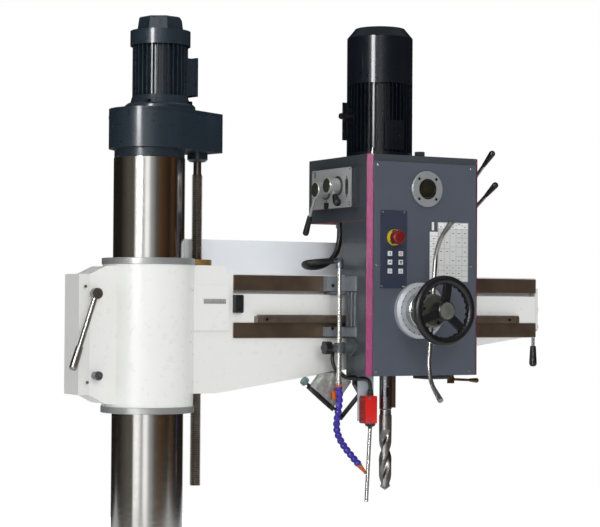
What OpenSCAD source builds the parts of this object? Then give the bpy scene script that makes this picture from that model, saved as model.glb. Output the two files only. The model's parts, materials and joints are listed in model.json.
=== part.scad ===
// Radial arm drill. A slotted base carries a fixed round column. An arm swings round the column
// and climbs it on a lead screw, and a drilling head runs along the arm on two guide ways.
// Millimetres, +Z up. The origin is the column's axis at floor level; the arm points along +X
// and the operator stands on the -Y side. Heights in the arm and head count from arm_z.

/* [Stand] */
// Length of the base plate along the arm
base_l = 1400; // [1300:10:1700]
// Width of the base plate
base_w = 640; // [560:10:800]
// Thickness of the base plate
base_h = 140; // [120:5:180]
// Base plate behind the column's axis
base_back = 260; // [240:10:320]
// Radius of the base plate's corners
base_corner_r = 30; // [10:1:40]
// Work table on the base plate: left end
table_x = 240; // [230:1:260]
// Width of the work table
table_w = 420; // [404:2:424]
// Rise of the work table and foot pad over the base plate
table_rise = 2; // [1:0.5:3]
// Throat width of a T-slot
slot_w = 22; // [18:1:28]
// Wide part of a T-slot
slot_foot_w = 37; // [32:1:46]
// Height of the wide part
slot_foot_h = 16; // [14:1:20]
// Depth of a T-slot
slot_depth = 38; // [34:1:46]
// Distance between T-slots
slot_pitch = 180; // [140:5:200]
// Number of T-slots
slot_count = 3; // [2:1:3]
// Distance from the column's axis to where the T-slots start
slot_start = 270; // [250:10:400]
// Width of the coolant gutter
gutter_w = 24; // [16:1:30]
// Depth of the coolant gutter
gutter_depth = 14; // [8:1:20]
// Distance from the base plate's edge to the gutter
gutter_edge = 28; // [24:1:34]
// Diameter of an anchor hole
anchor_d = 24; // [18:1:30]
// Anchor hole to the base plate's end
anchor_end = 60; // [50:1:70]
// Anchor hole to the base plate's side
anchor_side = 50; // [45:1:60]
// Size of the cut-out over an anchor hole
anchor_pocket = 110; // [100:1:120]
// Thickness left under an anchor bolt
anchor_land = 40; // [30:1:60]
// Diameter of the foot flange
foot_d = 420; // [400:5:460]
// Thickness of the foot flange
foot_flange_h = 34; // [28:1:45]
// Height of the column foot
foot_h = 170; // [140:5:220]
// Wall of the column foot round the column
foot_wall = 24; // [18:1:34]
// Bolt circle of the column foot
foot_pcd = 350; // [340:5:370]
// Number of foot bolts
foot_bolts = 8; // [6:2:12]
// Width across the corners of a foot bolt head
foot_bolt_head = 41; // [34:1:44]
// Thickness of a foot bolt head
foot_bolt_head_h = 15; // [12:1:19]

/* [Column and cap] */
// Diameter of the column
column_d = 200; // [190:1:210]
// Wall of the column
column_wall = 14; // [10:1:20]
// Height of the column's top over the floor
column_top = 1860; // [1820:10:1950]
// Neck under the cap
neck_h = 24; // [18:1:30]
// Depth of the cap's spigot in the column
spigot_h = 90; // [60:5:120]
// Height of the cap housing
cap_h = 103; // [90:1:130]
// Radius of the cap housing
cap_r = 114.6; // [112:0.2:125]
// Thickness of the cap's lid
lid_h = 8; // [6:1:12]
// Width of the cap's lobe over the lead screw
lobe_w = 124; // [116:1:136]
// Reach of the lobe past the lead screw
lobe_past = 49; // [40:1:60]
// Corner radius of the lobe
lobe_r = 14; // [6:1:30]
// Lead screw axis to column axis
screw_dist = 176; // [175:1:182]
// Angle of the lead screw round the column
screw_angle = 14.8; // [12:0.2:18]
// Diameter of the lead screw
screw_d = 32; // [30:1:36]
// Neck of the lead screw
screw_neck_d = 26; // [20:1:28]
// Threaded end of the lead screw over the arm line
screw_thread_top = 377; // [360:1:390]
// Lower end of the lead screw under the arm line
screw_low = 512; // [505:1:620]
// Diameter of the boss that holds the lead screw
boss_d = 58.6; // [54:0.2:64]
// Height of that boss
boss_h = 25; // [18:1:30]
// Lift motor axis along the lobe
lift_motor_x = 36; // [25:1:45]
// Diameter of the lift motor's flange
lift_flange_d = 200; // [180:2:210]
// Thickness of the lift motor's flange
lift_flange_h = 16; // [12:1:20]
// Height of the bell over the flange
lift_bell_h = 24; // [16:1:30]
// Diameter over the lift motor's fins
lift_fin_d = 157; // [150:1:164]
// Diameter of the lift motor's core
lift_core_d = 128; // [110:1:134]
// Length of the lift motor's fins
lift_fin_l = 142; // [120:1:170]
// Number of fins on the lift motor
lift_fins = 32; // [20:4:40]
// Diameter of the cowl's skirt
lift_cowl_d = 170; // [166:1:180]
// Height of the cowl's skirt
lift_skirt_h = 42; // [30:1:50]
// Width of the rain cap over the cowl, across corners
lift_canopy_d = 136; // [120:1:150]
// Height of the rain cap
lift_canopy_h = 39; // [30:1:50]

/* [Arm] */
// Height of the arm line, halfway between the guide ways
arm_z = 1445; // [1400:5:1500]
// Outer radius of the sleeve
sleeve_r = 128; // [126:0.5:130]
// Radius of the sleeve's end rings
ring_r = 131; // [130:0.5:132]
// Thickness of an end ring
ring_h = 18; // [12:1:22]
// Top of the sleeve over the arm line
sleeve_up = 115; // [110:1:120]
// Bottom of the sleeve under the arm line
sleeve_down = 279; // [270:1:290]
// Front face of the arm casting, in front of the column's axis
arm_front = 61; // [58:1:64]
// Rear face of the arm casting, behind the column's axis
arm_rear = 92; // [90:1:100]
// Top of the arm over the arm line
arm_top = 93; // [92:1:98]
// Underside of the arm's root under the arm line
arm_root_down = 245; // [235:1:255]
// Underside of the arm's far end under the arm line
arm_tip_down = 91; // [90:1:100]
// Right end of the arm
arm_end_x = 1282; // [1270:1:1320]
// Where the arm's underside starts to rise
arm_root_x = 182; // [175:1:200]
// Where the arm's underside stops rising
arm_tip_x = 1236; // [1200:1:1250]
// Raised pad beside the sleeve: left end
pad_x0 = 100; // [95:1:110]
// Raised pad: right end
pad_x1 = 220; // [214:1:228]
// Raised pad: top
pad_up = 60; // [55:1:66]
// Raised pad: bottom
pad_down = 69; // [60:1:75]
// Guide way's left end
way_x0 = 235; // [230:1:245]
// Inner edge of a guide way from the arm line
way_in = 46; // [44:1:50]
// Outer edge of a guide way from the arm line
way_out = 89.5; // [86:0.5:91]
// How far a guide way stands out of the arm
way_proud = 5; // [3:0.5:8]
// How deep a guide way is let in
way_let_in = 16; // [12:1:20]
// Height of the keeper groove under the upper way
groove_h = 10; // [8:1:14]
// Depth of the keeper groove behind the upper way
groove_behind = 12; // [10:1:16]
// How far the keeper groove reaches up behind the way
groove_up = 12; // [10:1:16]
// Left end of the traverse rack
rack_x0 = 303; // [290:1:330]
// Right end of the traverse rack
rack_x1 = 1208; // [1150:1:1220]
// Width of the traverse rack
rack_w = 22; // [16:1:23]
// Module of the gears and racks
gear_m = 2; // [2:0.5:2]
// Left end of the travel buffer
buffer_x = 234; // [230:1:238]
// Length of the travel buffer
buffer_l = 25; // [22:1:30]
// Height of the travel buffer
buffer_h = 51; // [40:1:54]
// Thickness of the travel buffer
buffer_t = 20; // [14:1:24]
// Middle of the travel buffer over the arm line
buffer_up = 7.5; // [4:0.5:10]
// Flange diameter of the lift nut
nut_d = 86; // [80:1:87]
// Flange thickness of the lift nut
nut_flange_h = 18; // [14:1:18]
// Body diameter of the lift nut
nut_body_d = 56; // [50:1:60]
// Length of the lift nut's body
nut_body_l = 60; // [40:1:80]
// Left end of the clamp block
block_x = 197; // [190:1:205]
// Width of the clamp block
block_w = 104; // [96:1:112]
// Top of the clamp block
block_up = 86.5; // [84:0.5:92]
// Bottom of the clamp block
block_down = 244; // [236:1:250]
// Where the block's slopes meet the sleeve
block_slope_x = 150; // [146:1:160]
// Slot that lets the clamp close
clamp_gap = 5; // [3:1:8]
// Depth of the cover over the clamp block
clamp_cover_t = 32; // [26:1:40]
// Sheet of the clamp cover
clamp_sheet = 4; // [3:0.5:6]
// Thickness of the arm's end plate
end_plate_t = 11; // [8:1:16]
// Dome on the end plate
dome_r = 26; // [20:1:30]
// Left end of the rear cover
rear_cover_x0 = 130; // [126:1:140]
// Right end of the rear cover
rear_cover_x1 = 880; // [800:10:1000]
// Depth of the rear cover
rear_cover_d = 40; // [30:1:42]
// Top of the rear cover over the arm line
rear_cover_up = 194; // [180:1:200]
// Bottom of the rear cover under the arm line
rear_cover_down = 60; // [50:1:70]
// Sheet of the rear cover
rear_cover_t = 2; // [1.5:0.5:3]

/* [Head] */
// Spindle axis to column axis, as shown
reach = 694; // [680:1:710]
// Spindle axis in front of the column's axis
spindle_out = 140; // [136:1:144]
// Head's left side from the spindle axis
head_left = 104; // [100:1:108]
// Head's right side from the spindle axis
head_right = 275; // [270:1:284]
// Head casting's front, in front of the column's axis
head_front = 215.3; // [213:0.1:219]
// Head's rear face beside the guide shoes
head_rear = 90; // [88:1:92]
// Head's rear face over the arm
head_mid_rear = 60; // [56:1:64]
// Rear of the overhanging gearbox, behind the column's axis
hood_rear = 140; // [134:1:150]
// Underside of the head
head_down = 197; // [190:1:205]
// Step of the head over the arm
head_step = 97; // [96:1:102]
// Underside of the overhanging gearbox
hood_up = 250; // [240:1:260]
// Top of the head
head_up = 440; // [430:1:450]
// Wall of the head casting
head_wall = 9; // [7:0.5:12]
// Width of the chamfered corner strips
trim_w = 14; // [10:1:18]
// Thickness of a corner strip
trim_t = 1.5; // [1:0.5:2]
// Thickness of the front panel
panel_t = 3; // [2:0.5:4]
// Top edge of the front panel
panel_up = 420; // [410:1:426]
// Left end of the guide shoes from the spindle axis
shoe_left = 169; // [160:1:178]
// Right end of the guide shoes from the spindle axis
shoe_right = 271; // [260:1:274]
// Running gap between shoe and way
shoe_gap = 0.3; // [0.2:0.1:0.5]
// Thickness of the keeper behind the way
keeper_t = 8; // [6:0.5:9]
// Head motor axis to the right of the spindle
motor_dx = 33; // [28:1:38]
// Diameter of the head motor
motor_d = 195; // [186:1:204]
// Diameter of the head motor's core
motor_core_d = 162; // [150:1:170]
// Height of the motor's foot ring
motor_foot_h = 16; // [12:1:24]
// Top of the motor's fins over the arm line
motor_fin_top = 659; // [650:1:680]
// Top of the motor over the arm line
motor_top = 827; // [810:1:850]
// Width of the cowl's chamfer
motor_chamfer = 24; // [16:1:30]
// Height of the cowl's chamfer
motor_chamfer_h = 29; // [24:1:44]
// Number of fins on the head motor
motor_fins = 44; // [28:4:52]
// Wall of the motor cowls
cowl_t = 2.5; // [2:0.5:4]
// Diameter of the motor shaft
motor_shaft_d = 24; // [20:1:28]
// Teeth on the motor pinion
pinion_teeth = 41; // [40:1:42]
// Teeth on the spindle gear
spindle_teeth = 62; // [61:1:63]
// Width of the drive gears
gear_w = 25; // [18:1:28]
// Underside of the drive gears over the arm line
gear_up = 308; // [302:1:312]

/* [Spindle and quill] */
// Diameter of the quill
quill_d = 86; // [85:1:88]
// Top of the quill over the arm line, drawn in
quill_top = 195; // [192:1:200]
// Diameter of the spindle's nose
nose_d = 36; // [34:1:40]
// Length of the spindle's nose under the head
nose_l = 103; // [95:1:112]
// Diameter of the spindle's splined end
spline_d = 28; // [26:1:30]
// Top of the spindle over the arm line, drawn in
spindle_top = 427; // [420:1:428]
// Diameter of the gear's hub
gear_hub_d = 60; // [50:1:64]
// Bottom of the gear's hub
gear_hub_low = 203; // [202:1:210]
// Diameter of the drill
drill_d = 37; // [32:1:40]
// Diameter of the drill's neck
drill_neck_d = 26.5; // [24.5:0.5:30]
// Length of the drill's neck
drill_neck_l = 19; // [14:1:24]
// Length of the drill's fluted part
drill_l = 212; // [180:1:240]
// Pitch of the drill's flutes
drill_lead = 165; // [140:5:220]
// Web of the drill
drill_web = 8; // [6:1:10]
// Depth of the taper socket
taper_l = 86; // [78:1:90]
// Large end of the taper
taper_d = 24.1; // [23.8:0.1:24.4]
// Small end of the taper
taper_small_d = 19.8; // [19.5:0.1:20.2]

/* [Feed and traverse] */
// Feed hub axis to the right of the spindle
feed_dx = 61; // [61:1:61]
// Feed hub axis under the arm line
feed_down = 8.75; // [8.75:0.25:8.75]
// Teeth on the feed pinion
feed_teeth = 20; // [20:1:20]
// Teeth on the traverse pinion
traverse_teeth = 16; // [16:1:16]
// Diameter of the graduated dial
dial_d = 162; // [150:1:170]
// Thickness of the graduated dial
dial_t = 21; // [16:1:24]
// Diameter of the bright drum
drum_d = 112; // [100:1:124]
// Length of the bright drum
drum_l = 24; // [18:1:30]
// Diameter of the lever hub
lever_hub_d = 96; // [84:1:104]
// Length of the lever hub
lever_hub_l = 44; // [40:1:50]
// Diameter of the feed levers
feed_rod_d = 13; // [11:1:14]
// Tip diameter of the feed levers
feed_tip_d = 17; // [15:1:20]
// Straight part of a feed lever from the axis
feed_straight = 140; // [120:1:160]
// Bend radius of a feed lever
feed_bend_r = 110; // [80:1:140]
// Bend angle of a feed lever
feed_bend = 50; // [30:1:60]
// Straight tip of a feed lever
feed_tip_l = 46; // [20:1:60]
// Turn of the feed levers from upright
feed_turn = 4; // [0:1:10]
// Diameter of the handwheel
wheel_d = 201; // [190:1:210]
// Thickness of the handwheel's rim
rim_d = 24; // [20:1:28]
// Gap from the feed levers' hub to the handwheel's hub
wheel_gap = 24.7; // [20.7:0.5:32]
// Diameter of the handwheel's hub
wheel_hub_d = 56; // [48:1:64]
// Length of the handwheel's hub
wheel_hub_l = 42; // [34:1:46]
// Number of finger grips on the rim
wheel_grips = 27; // [18:3:33]
// Diameter of the traverse shaft
shaft_d = 16; // [14:1:18]
// Wall of the feed sleeve
feed_sleeve_wall = 5; // [4:0.5:6]

/* [Controls] */
// Height of the selector box's middle over the arm line
selector_up = 347; // [340:1:352]
// Height of the selector box
selector_h = 116; // [108:1:120]
// Front end of the selector box, in front of the column's axis
selector_front = 160; // [150:1:166]
// Length of the selector box
selector_l = 243; // [230:1:250]
// Depth of the selector box
selector_t = 23; // [18:1:28]
// Diameter of a selector knob
knob_d = 46; // [40:1:50]
// Length of a selector knob
knob_l = 40; // [36:1:46]
// Speed knob in front of the column's axis
speed_out = 8; // [4:1:12]
// Range knob in front of the column's axis
range_out = 77; // [72:1:84]
// Left edge of the control panel from the spindle
control_x = -68; // [-70:0.5:-64]
// Width of the control panel
control_w = 88.5; // [84:0.5:92]
// Bottom of the control panel over the arm line
control_low = 56; // [50:1:60]
// Height of the control panel
control_h = 223; // [210:1:230]
// Thickness of the control panel
control_t = 3; // [2:0.5:4]
// Stop button over the arm line
stop_up = 201; // [196:1:206]
// Diameter of the stop button
stop_d = 40; // [34:1:44]
// Diameter of the stop button's collar
stop_collar_d = 46; // [44:1:54]
// Side of a push button
button_s = 14; // [12:0.5:16]
// Height of a push button over the panel
button_h = 5; // [4:0.5:7]
// Sight glass to the right of the spindle
sight_dx = 87; // [82:1:92]
// Sight glass over the arm line
sight_up = 344; // [338:1:350]
// Diameter of the sight glass flange
sight_d = 104; // [96:1:110]
// Diameter of the sight glass
sight_glass_d = 60; // [52:1:66]

/* [Fittings] */
// Coolant pipe to the left of the spindle
pipe_dx = -152; // [-156:1:-149]
// Coolant pipe in front of the column's axis
pipe_out = 132; // [130:1:136]
// Diameter of the coolant pipe
pipe_d = 14; // [12:1:16]
// Top of the coolant pipe over the arm line
pipe_up = 116; // [110:1:122]
// Bottom of the coolant pipe under the arm line
pipe_down = 222; // [215:1:230]
// Pipe clamp under the arm line
pipe_clamp_down = 117; // [110:1:124]
// Diameter of a hose bead
bead_d = 21; // [18:1:24]
// Diameter of the supply hose
hose_d = 17; // [14:1:18]
// Diameter of the switch cable
cable_d = 11; // [8:1:11]
// Trip switch left edge from the spindle
switch_dx = -80; // [-83:1:-77]
// Width of the trip switch
switch_w = 41; // [36:1:44]
// Depth of the trip switch
switch_t = 36; // [30:1:38]
// Top of the trip switch under the arm line
switch_down = 256; // [250:1:262]
// Height of the trip switch
switch_h = 80; // [70:1:86]
// Front of the trip switch, in front of the column's axis
switch_out = 160; // [156:1:164]
// Diameter of the trip rod
trip_d = 11; // [9:1:12]
// Length of the trip rod
trip_l = 216; // [190:1:230]
// Lean of the trip rod to the left
trip_lean = 3; // [0:0.5:5]
// Width of the work lamp across the glass
lamp_l = 103; // [92:1:106]
// Depth of the work lamp's body
lamp_h = 99; // [90:1:100]
// Thickness of the work lamp front to back
lamp_w = 36; // [30:1:36]
// Tilt of the work lamp
lamp_tilt = 39; // [36:0.5:42]
// Fins on each side of the work lamp
lamp_fins = 12; // [6:1:14]

/* [Hidden] */
$fn = 48;
fit = 0.05;
foot_fit = 0.1;
seat = 0.3;
run_gap = 0.5;
column_r = column_d / 2;
column_bore_r = column_r - column_wall;
cap_z = column_top + neck_h;
screw_x = screw_dist * cos(screw_angle);
screw_y = screw_dist * sin(screw_angle);
way_face = arm_front + way_proud;
head_x0 = reach - head_left;
head_x1 = reach + head_right;
panel_face = head_front + panel_t;
feed_pitch_r = gear_m * feed_teeth / 2;
rack_pitch_down = feed_down + gear_m * traverse_teeth / 2;
feed_x = reach + feed_dx;
gear_centres = gear_m * (pinion_teeth + spindle_teeth) / 2;
motor_x = reach + motor_dx;
motor_y = sqrt(gear_centres * gear_centres - motor_dx * motor_dx) - spindle_out;
dial_front = panel_face + dial_t;
drum_front = dial_front + drum_l;
lever_hub_front = drum_front + lever_hub_l;
wheel_out = lever_hub_front + wheel_gap + wheel_hub_l / 2 + 4;
feed_plane = drum_front + lever_hub_l / 2 + 8;
sleeve_d = shaft_d + 2 * feed_sleeve_wall;
lift_z = cap_z + cap_h + lid_h;
button_cols = [-39.5, -3.1];
button_rows = [154.8, 130, 104.4];
// Points counted from the spindle, moved to where the head stands
function from_reach(pts) = [for (p = pts) concat([p.x + reach], [for (i = [1 : len(p) - 1]) p[i]])];
supply_points = from_reach([
    [-153, -132, 133], [-166, -132, 133], [-186, -132, 132.5], [-206, -132, 131], [-224, -131, 129.5],
    [-237, -127, 128], [-245, -118, 126.5], [-247, -105, 125], [-244, -90, 123.5], [-237, -74, 122],
    [-227, -58, 120], [-214, -42, 118], [-198, -28, 116.5], [-180, -16, 116], [-161, -6, 117],
    [-141, 2, 120], [-121, 9, 126], [-103, 15, 135], [-88, 19, 147], [-77, 21, 161],
    [-70, 22, 177], [-66, 22, 195], [-64, 22, 215], [-64, 22, 250]]);
cable_points = from_reach([
    [-54, -144, -235.6], [-54, -144, -228], [-56, -143, -218], [-60, -140, -210.5], [-69, -136, -207],
    [-81, -131, -207], [-93, -126, -207], [-105, -121.5, -206], [-117, -119, -203], [-128, -118, -199],
    [-139, -117.5, -193.5], [-150, -117.5, -186], [-158, -117.5, -176],
    [-163, -117, -163], [-165, -116, -150],
    [-163, -113, -137], [-157, -108, -126], [-147, -103, -118], [-136, -99, -114.5], [-122, -98, -113],
    [-104.4, -98, -113]]);
hose_points = from_reach([
    [-152, -234], [-150, -251], [-150, -268], [-151.5, -285], [-154, -302], [-157, -319], [-159, -336],
    [-158, -353], [-153, -369], [-145, -384.5], [-135, -399], [-124, -412.5], [-112, -425.5],
    [-100, -438.5], [-88, -451]]);

// Shared shapes

// Things whose heights count from the arm line
module at_arm() { translate([0, 0, arm_z]) children(); }

// A round bar from p to q
module bar(p, q, r, r_end = -1) {
    d = q - p;
    l = norm(d);
    translate(p) rotate([0, acos(d.z / l), atan2(d.y, d.x)])
        cylinder(h = l, r1 = r, r2 = r_end < 0 ? r : r_end);
}

// A lever turned in one piece from p along dir: a rod, then a grip with a rounded end
module lever(p, dir, rod_r, rod_l, grip_l, grip_r0, grip_r1) {
    e = rod_l + grip_l;
    translate(p) rotate([0, acos(dir.z), atan2(dir.y, dir.x)]) rotate_extrude() polygon([
        [0, 0], [rod_r, 0], [rod_r, rod_l], [grip_r0, rod_l], [grip_r1, e],
        [0.9 * grip_r1, e + 0.4 * grip_r1], [0.6 * grip_r1, e + 0.75 * grip_r1], [0, e + 0.85 * grip_r1]]);
}

// A bar of length l along +Y from y
module bar_y(x, y, z, l, r) { translate([x, y, z]) rotate([-90, 0, 0]) cylinder(h = l, r = r); }

// A bar of length l along +X from x
module bar_x(x, y, z, l, r) { translate([x, y, z]) rotate([0, 90, 0]) cylinder(h = l, r = r); }

// A box from corner lo to corner hi
module box(lo, hi) { translate(lo) cube(hi - lo); }

// A rectangle with round corners, from corner lo
module round_rect(lo, size, r) {
    translate(lo) {
        translate([r, 0]) square([size.x - 2 * r, size.y]);
        translate([0, r]) square([size.x, size.y - 2 * r]);
        for (x = [r, size.x - r], y = [r, size.y - r]) translate([x, y]) circle(r);
    }
}

// A front view outline (X, Z) made solid from y0 to y1
module from_front(y0, y1) {
    translate([0, y1, 0]) rotate([90, 0, 0]) linear_extrude(y1 - y0) children();
}

// A side view outline (Y, Z) made solid from x0 to x1
module from_side(x0, x1) {
    translate([x0, 0, 0]) rotate([90, 0, 90]) linear_extrude(x1 - x0) children();
}

// Corner points of a toothed wheel with straight flanks
function wheel_points(teeth, m) = let (
    pitch = m * teeth / 2, root = pitch - 1.25 * m, tip = pitch + 0.95 * m,
    half = 0.222 * PI * m, a = function (r, w) asin(w / r))
    [for (i = [0 : teeth - 1], k = [[root, -1, 1.25], [tip, -1, -0.95], [tip, 1, -0.95], [root, 1, 1.25]])
        let (turn = 360 * i / teeth + k[1] * a(k[0], half + k[2] * m * tan(20)))
        k[0] * [cos(turn), sin(turn)]];

// Corner points of a rack's toothed edge along X, teeth towards +Y, with a gap centred at gap_at
function rack_points(length, m, gap_at) = let (p = PI * m, from = gap_at - p * floor(gap_at / p),
    n = floor((length - from) / p), half = 0.206 * p)
    [for (i = [0 : n - 1], k = [[-1, -1.25], [-1, 0.95], [1, 0.95], [1, -1.25]])
        [from + (i + 0.5) * p + k[0] * (half - k[1] * m * tan(20)), k[1] * m]];

// A toothed wheel with a bore
module toothed(teeth, h, bore_r) {
    difference() {
        linear_extrude(h) polygon(wheel_points(teeth, gear_m));
        translate([0, 0, -1]) cylinder(h = h + 2, r = bore_r);
    }
}

// Round tube that follows points, as one closed skin
function unit(v) = v / norm(v);
function along(pts, i) = unit(pts[min(i + 1, len(pts) - 1)] - pts[max(i - 1, 0)]);
function side_of(d) = unit(cross(d, abs(d.z) < 0.9 ? [0, 0, 1] : [0, 1, 0]));
function carried(s, d) = unit(s - (s * d) * d);
function sides(pts, i = 0, s = [1, 0, 0]) = i == len(pts) ? [] :
    let (t = i == 0 ? side_of(along(pts, 0)) : carried(s, along(pts, i)))
    concat([t], sides(pts, i + 1, t));
module tube(pts, r, n) {
    u = sides(pts);
    rings = [for (i = [0 : len(pts) - 1], k = [0 : n - 1])
        pts[i] + r * (cos(360 * k / n) * u[i] + sin(360 * k / n) * cross(along(pts, i), u[i]))];
    walls = [for (i = [0 : len(pts) - 2], k = [0 : n - 1], h = [0, 1])
        let (a = i * n + k, b = i * n + (k + 1) % n) h == 0 ? [a, b, b + n] : [a, b + n, a + n]];
    caps = [for (k = [1 : n - 2], h = [0, 1])
        let (e = (len(pts) - 1) * n) h == 0 ? [0, k + 1, k] : [e, e + k, e + k + 1]];
    polyhedron(points = rings, faces = [for (f = concat(walls, caps)) [f[2], f[1], f[0]]]);
}

// Radial fins round a core
module finned(core_r, fin_r, h, count, t) {
    cylinder(h = h, r = core_r);
    for (i = [0 : count - 1]) rotate(360 * i / count)
        translate([core_r - 2, -t / 2, 0]) cube([fin_r - core_r + 2, t, h]);
}

// Stand

anchor_x = [anchor_end - base_back, base_l - base_back - anchor_end];
anchor_y = [anchor_side - base_w / 2, base_w / 2 - anchor_side];

module base_plate() color("dimgray") difference() {
    union() {
        linear_extrude(base_h - table_rise)
            round_rect([-base_back, -base_w / 2], [base_l, base_w], base_corner_r);
        cylinder(h = base_h, d = foot_d + 10);
        box([table_x, -table_w / 2, base_h / 2], [base_l - base_back, table_w / 2, base_h]);
    }
    slot_l = base_l;
    for (i = [0 : slot_count - 1]) translate([slot_start, (i - (slot_count - 1) / 2) * slot_pitch, 0]) {
        box([0, -slot_w / 2, base_h - slot_depth], [slot_l, slot_w / 2, base_h + 1]);
        box([0, -slot_foot_w / 2, base_h - slot_depth],
            [slot_l, slot_foot_w / 2, base_h - slot_depth + slot_foot_h]);
    }
    for (x = anchor_x, y = anchor_y) translate([x, y, -1]) cylinder(h = base_h, d = anchor_d);
    notch = 2 * [anchor_end + anchor_pocket / 2, anchor_side + anchor_pocket / 2];
    for (x = [-base_back, base_l - base_back], y = [-base_w / 2, base_w / 2])
        translate([x, y, anchor_land + base_h / 2]) cube([notch.x, notch.y, base_h], center = true);
    gutter_x0 = gutter_edge + anchor_pocket - base_back;
    gutter_x1 = base_l - base_back - gutter_edge - anchor_pocket;
    for (s = [-1, 1])
        translate([gutter_x0, s * (base_w / 2 - gutter_edge) - gutter_w / 2, base_h - gutter_depth])
        cube([gutter_x1 - gutter_x0, gutter_w, gutter_depth + 1]);
}

module column_foot() color("dimgray") {
    rim_r = column_r + foot_wall;
    fillet = foot_d / 2 - rim_r - 50;
    translate([0, 0, base_h]) difference() {
        union() {
            rotate_extrude() polygon(concat(
                [[column_r + foot_fit, 0], [foot_d / 2, 0], [foot_d / 2, foot_flange_h - 4],
                    [foot_d / 2 - 4, foot_flange_h]],
                [for (a = [0 : 15 : 90])
                    [rim_r + fillet * (1 - sin(a)), foot_flange_h + fillet * (1 - cos(a))]],
                [[rim_r, foot_h - 6], [rim_r - 6, foot_h], [column_r + foot_fit, foot_h]]));
            for (i = [0 : foot_bolts - 1]) rotate(360 * (i + 0.5) / foot_bolts) {
                translate([foot_pcd / 2, 0, foot_flange_h - 1]) cylinder(h = 4, d = foot_bolt_head + 6);
                translate([foot_pcd / 2, 0, foot_flange_h])
                    cylinder(h = foot_bolt_head_h + 3, d = foot_bolt_head, $fn = 6);
            }
        }
        translate([0, 0, -1]) cylinder(h = foot_h + 2, r = column_r + foot_fit);
    }
}

module column() color("silver") translate([0, 0, base_h]) difference() {
    h = column_top - base_h;
    rotate_extrude() polygon([[column_bore_r, 0], [column_r, 0], [column_r, h - 2],
        [column_r - 2, h], [column_bore_r, h]]);
}

// Cap

// The round body, the lobe's end, and flat sides that run from one to the other. The sides start
// a hair inside both curves, so that they cross them
module cap_outline(grow = 0) {
    body_r = cap_r + grow;
    end = [screw_dist + lobe_past + grow - lobe_r, lobe_w / 2 + grow - lobe_r];
    lean = atan2(end.y, end.x) + acos((body_r - lobe_r) / norm(end));
    side = [cos(lean), sin(lean)];
    low = (body_r - 0.05) * side;
    high = end + (lobe_r - 0.05) * side;
    circle(r = body_r, $fn = 96);
    rotate(screw_angle) {
        round_rect([0, -lobe_w / 2 - grow], [screw_dist + lobe_past + grow, lobe_w + 2 * grow], lobe_r);
        for (s = [-1, 1]) polygon([[0, 0], [low.x, s * low.y], [high.x, s * high.y], [end.x, 0]]);
    }
}

module cap_housing() color("#2c3a46") difference() {
    union() {
        translate([0, 0, cap_z]) linear_extrude(cap_h) cap_outline();
        translate([0, 0, column_top + seat]) cylinder(h = neck_h, r = column_r - 1.5);
        translate([0, 0, column_top - spigot_h]) cylinder(h = spigot_h + neck_h, r = column_bore_r - fit);
        translate([screw_x, screw_y, cap_z - boss_h]) {
            cylinder(h = 6, d1 = boss_d - 14, d2 = boss_d);
            translate([0, 0, 6]) cylinder(h = boss_h, d = boss_d);
        }
    }
    translate([screw_x, screw_y, cap_z - boss_h - 1])
        cylinder(h = boss_h + 61, d = screw_neck_d + 2 * fit);
}

module cap_lid() color("#2c3a46") translate([0, 0, cap_z + cap_h]) difference() {
    union() {
        linear_extrude(1) cap_outline(-1.2);
        translate([0, 0, 1]) linear_extrude(lid_h - 1) cap_outline();
    }
    at_lift_motor() translate([0, 0, -1]) cylinder(h = lid_h + 2, d = lift_core_d / 2);
}

module at_lift_motor() { rotate(screw_angle) translate([lift_motor_x, 0, 0]) children(); }

module lift_motor() color("#26323e") translate([0, 0, lift_z]) at_lift_motor() {
    cylinder(h = lift_flange_h - 5, d = lift_flange_d);
    translate([0, 0, lift_flange_h - 5]) cylinder(h = 5, d1 = lift_flange_d, d2 = lift_flange_d - 10);
    translate([0, 0, lift_flange_h]) cylinder(h = lift_bell_h, d1 = lift_fin_d + 14, d2 = lift_fin_d);
    translate([0, 0, lift_flange_h + lift_bell_h])
        finned(lift_core_d / 2, lift_fin_d / 2, lift_fin_l, lift_fins, 3);
    box_r = lift_fin_d / 2 + 24;
    translate([lift_core_d / 2 - 2, -44, lift_flange_h + lift_bell_h + 8]) {
        cube([box_r - lift_core_d / 2 - 8, 88, 104]);
        translate([box_r - lift_core_d / 2 - 8, -3, -3]) cube([8, 94, 110]);
    }
}

module lift_motor_cowl() color("#26323e")
    translate([0, 0, lift_z + lift_flange_h + lift_bell_h + lift_fin_l]) at_lift_motor() {
        difference() {
            cylinder(h = lift_skirt_h, d = lift_cowl_d);
            translate([0, 0, -1]) cylinder(h = lift_skirt_h - cowl_t + 1, d = lift_cowl_d - 2 * cowl_t);
        }
        cylinder(h = lift_skirt_h, d = lift_core_d / 3);
        translate([0, 0, lift_skirt_h]) rotate(22.5) {
            cylinder(h = lift_canopy_h - 4, d1 = lift_canopy_d, d2 = lift_canopy_d - 10, $fn = 8);
            translate([0, 0, lift_canopy_h - 4])
                cylinder(h = 4, d1 = lift_canopy_d - 10, d2 = lift_canopy_d - 18, $fn = 8);
        }
    }

module lead_screw() color("gray") at_arm() translate([screw_x, screw_y, 0]) {
    top = cap_z - arm_z + 58;
    rotate_extrude() polygon([[0, -screw_low], [screw_d / 2 - 3, -screw_low],
        [screw_d / 2, 3 - screw_low], [screw_d / 2, screw_thread_top - 2],
        [screw_d / 2 - 2, screw_thread_top], [screw_neck_d / 2, screw_thread_top],
        [screw_neck_d / 2, top], [0, top]]);
}

// Arm

// Underside of the arm at x
function arm_under(x) = let (t = (x - arm_root_x) / (arm_tip_x - arm_root_x))
    -arm_root_down + max(0, min(1, t)) * (arm_root_down - arm_tip_down);

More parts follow.
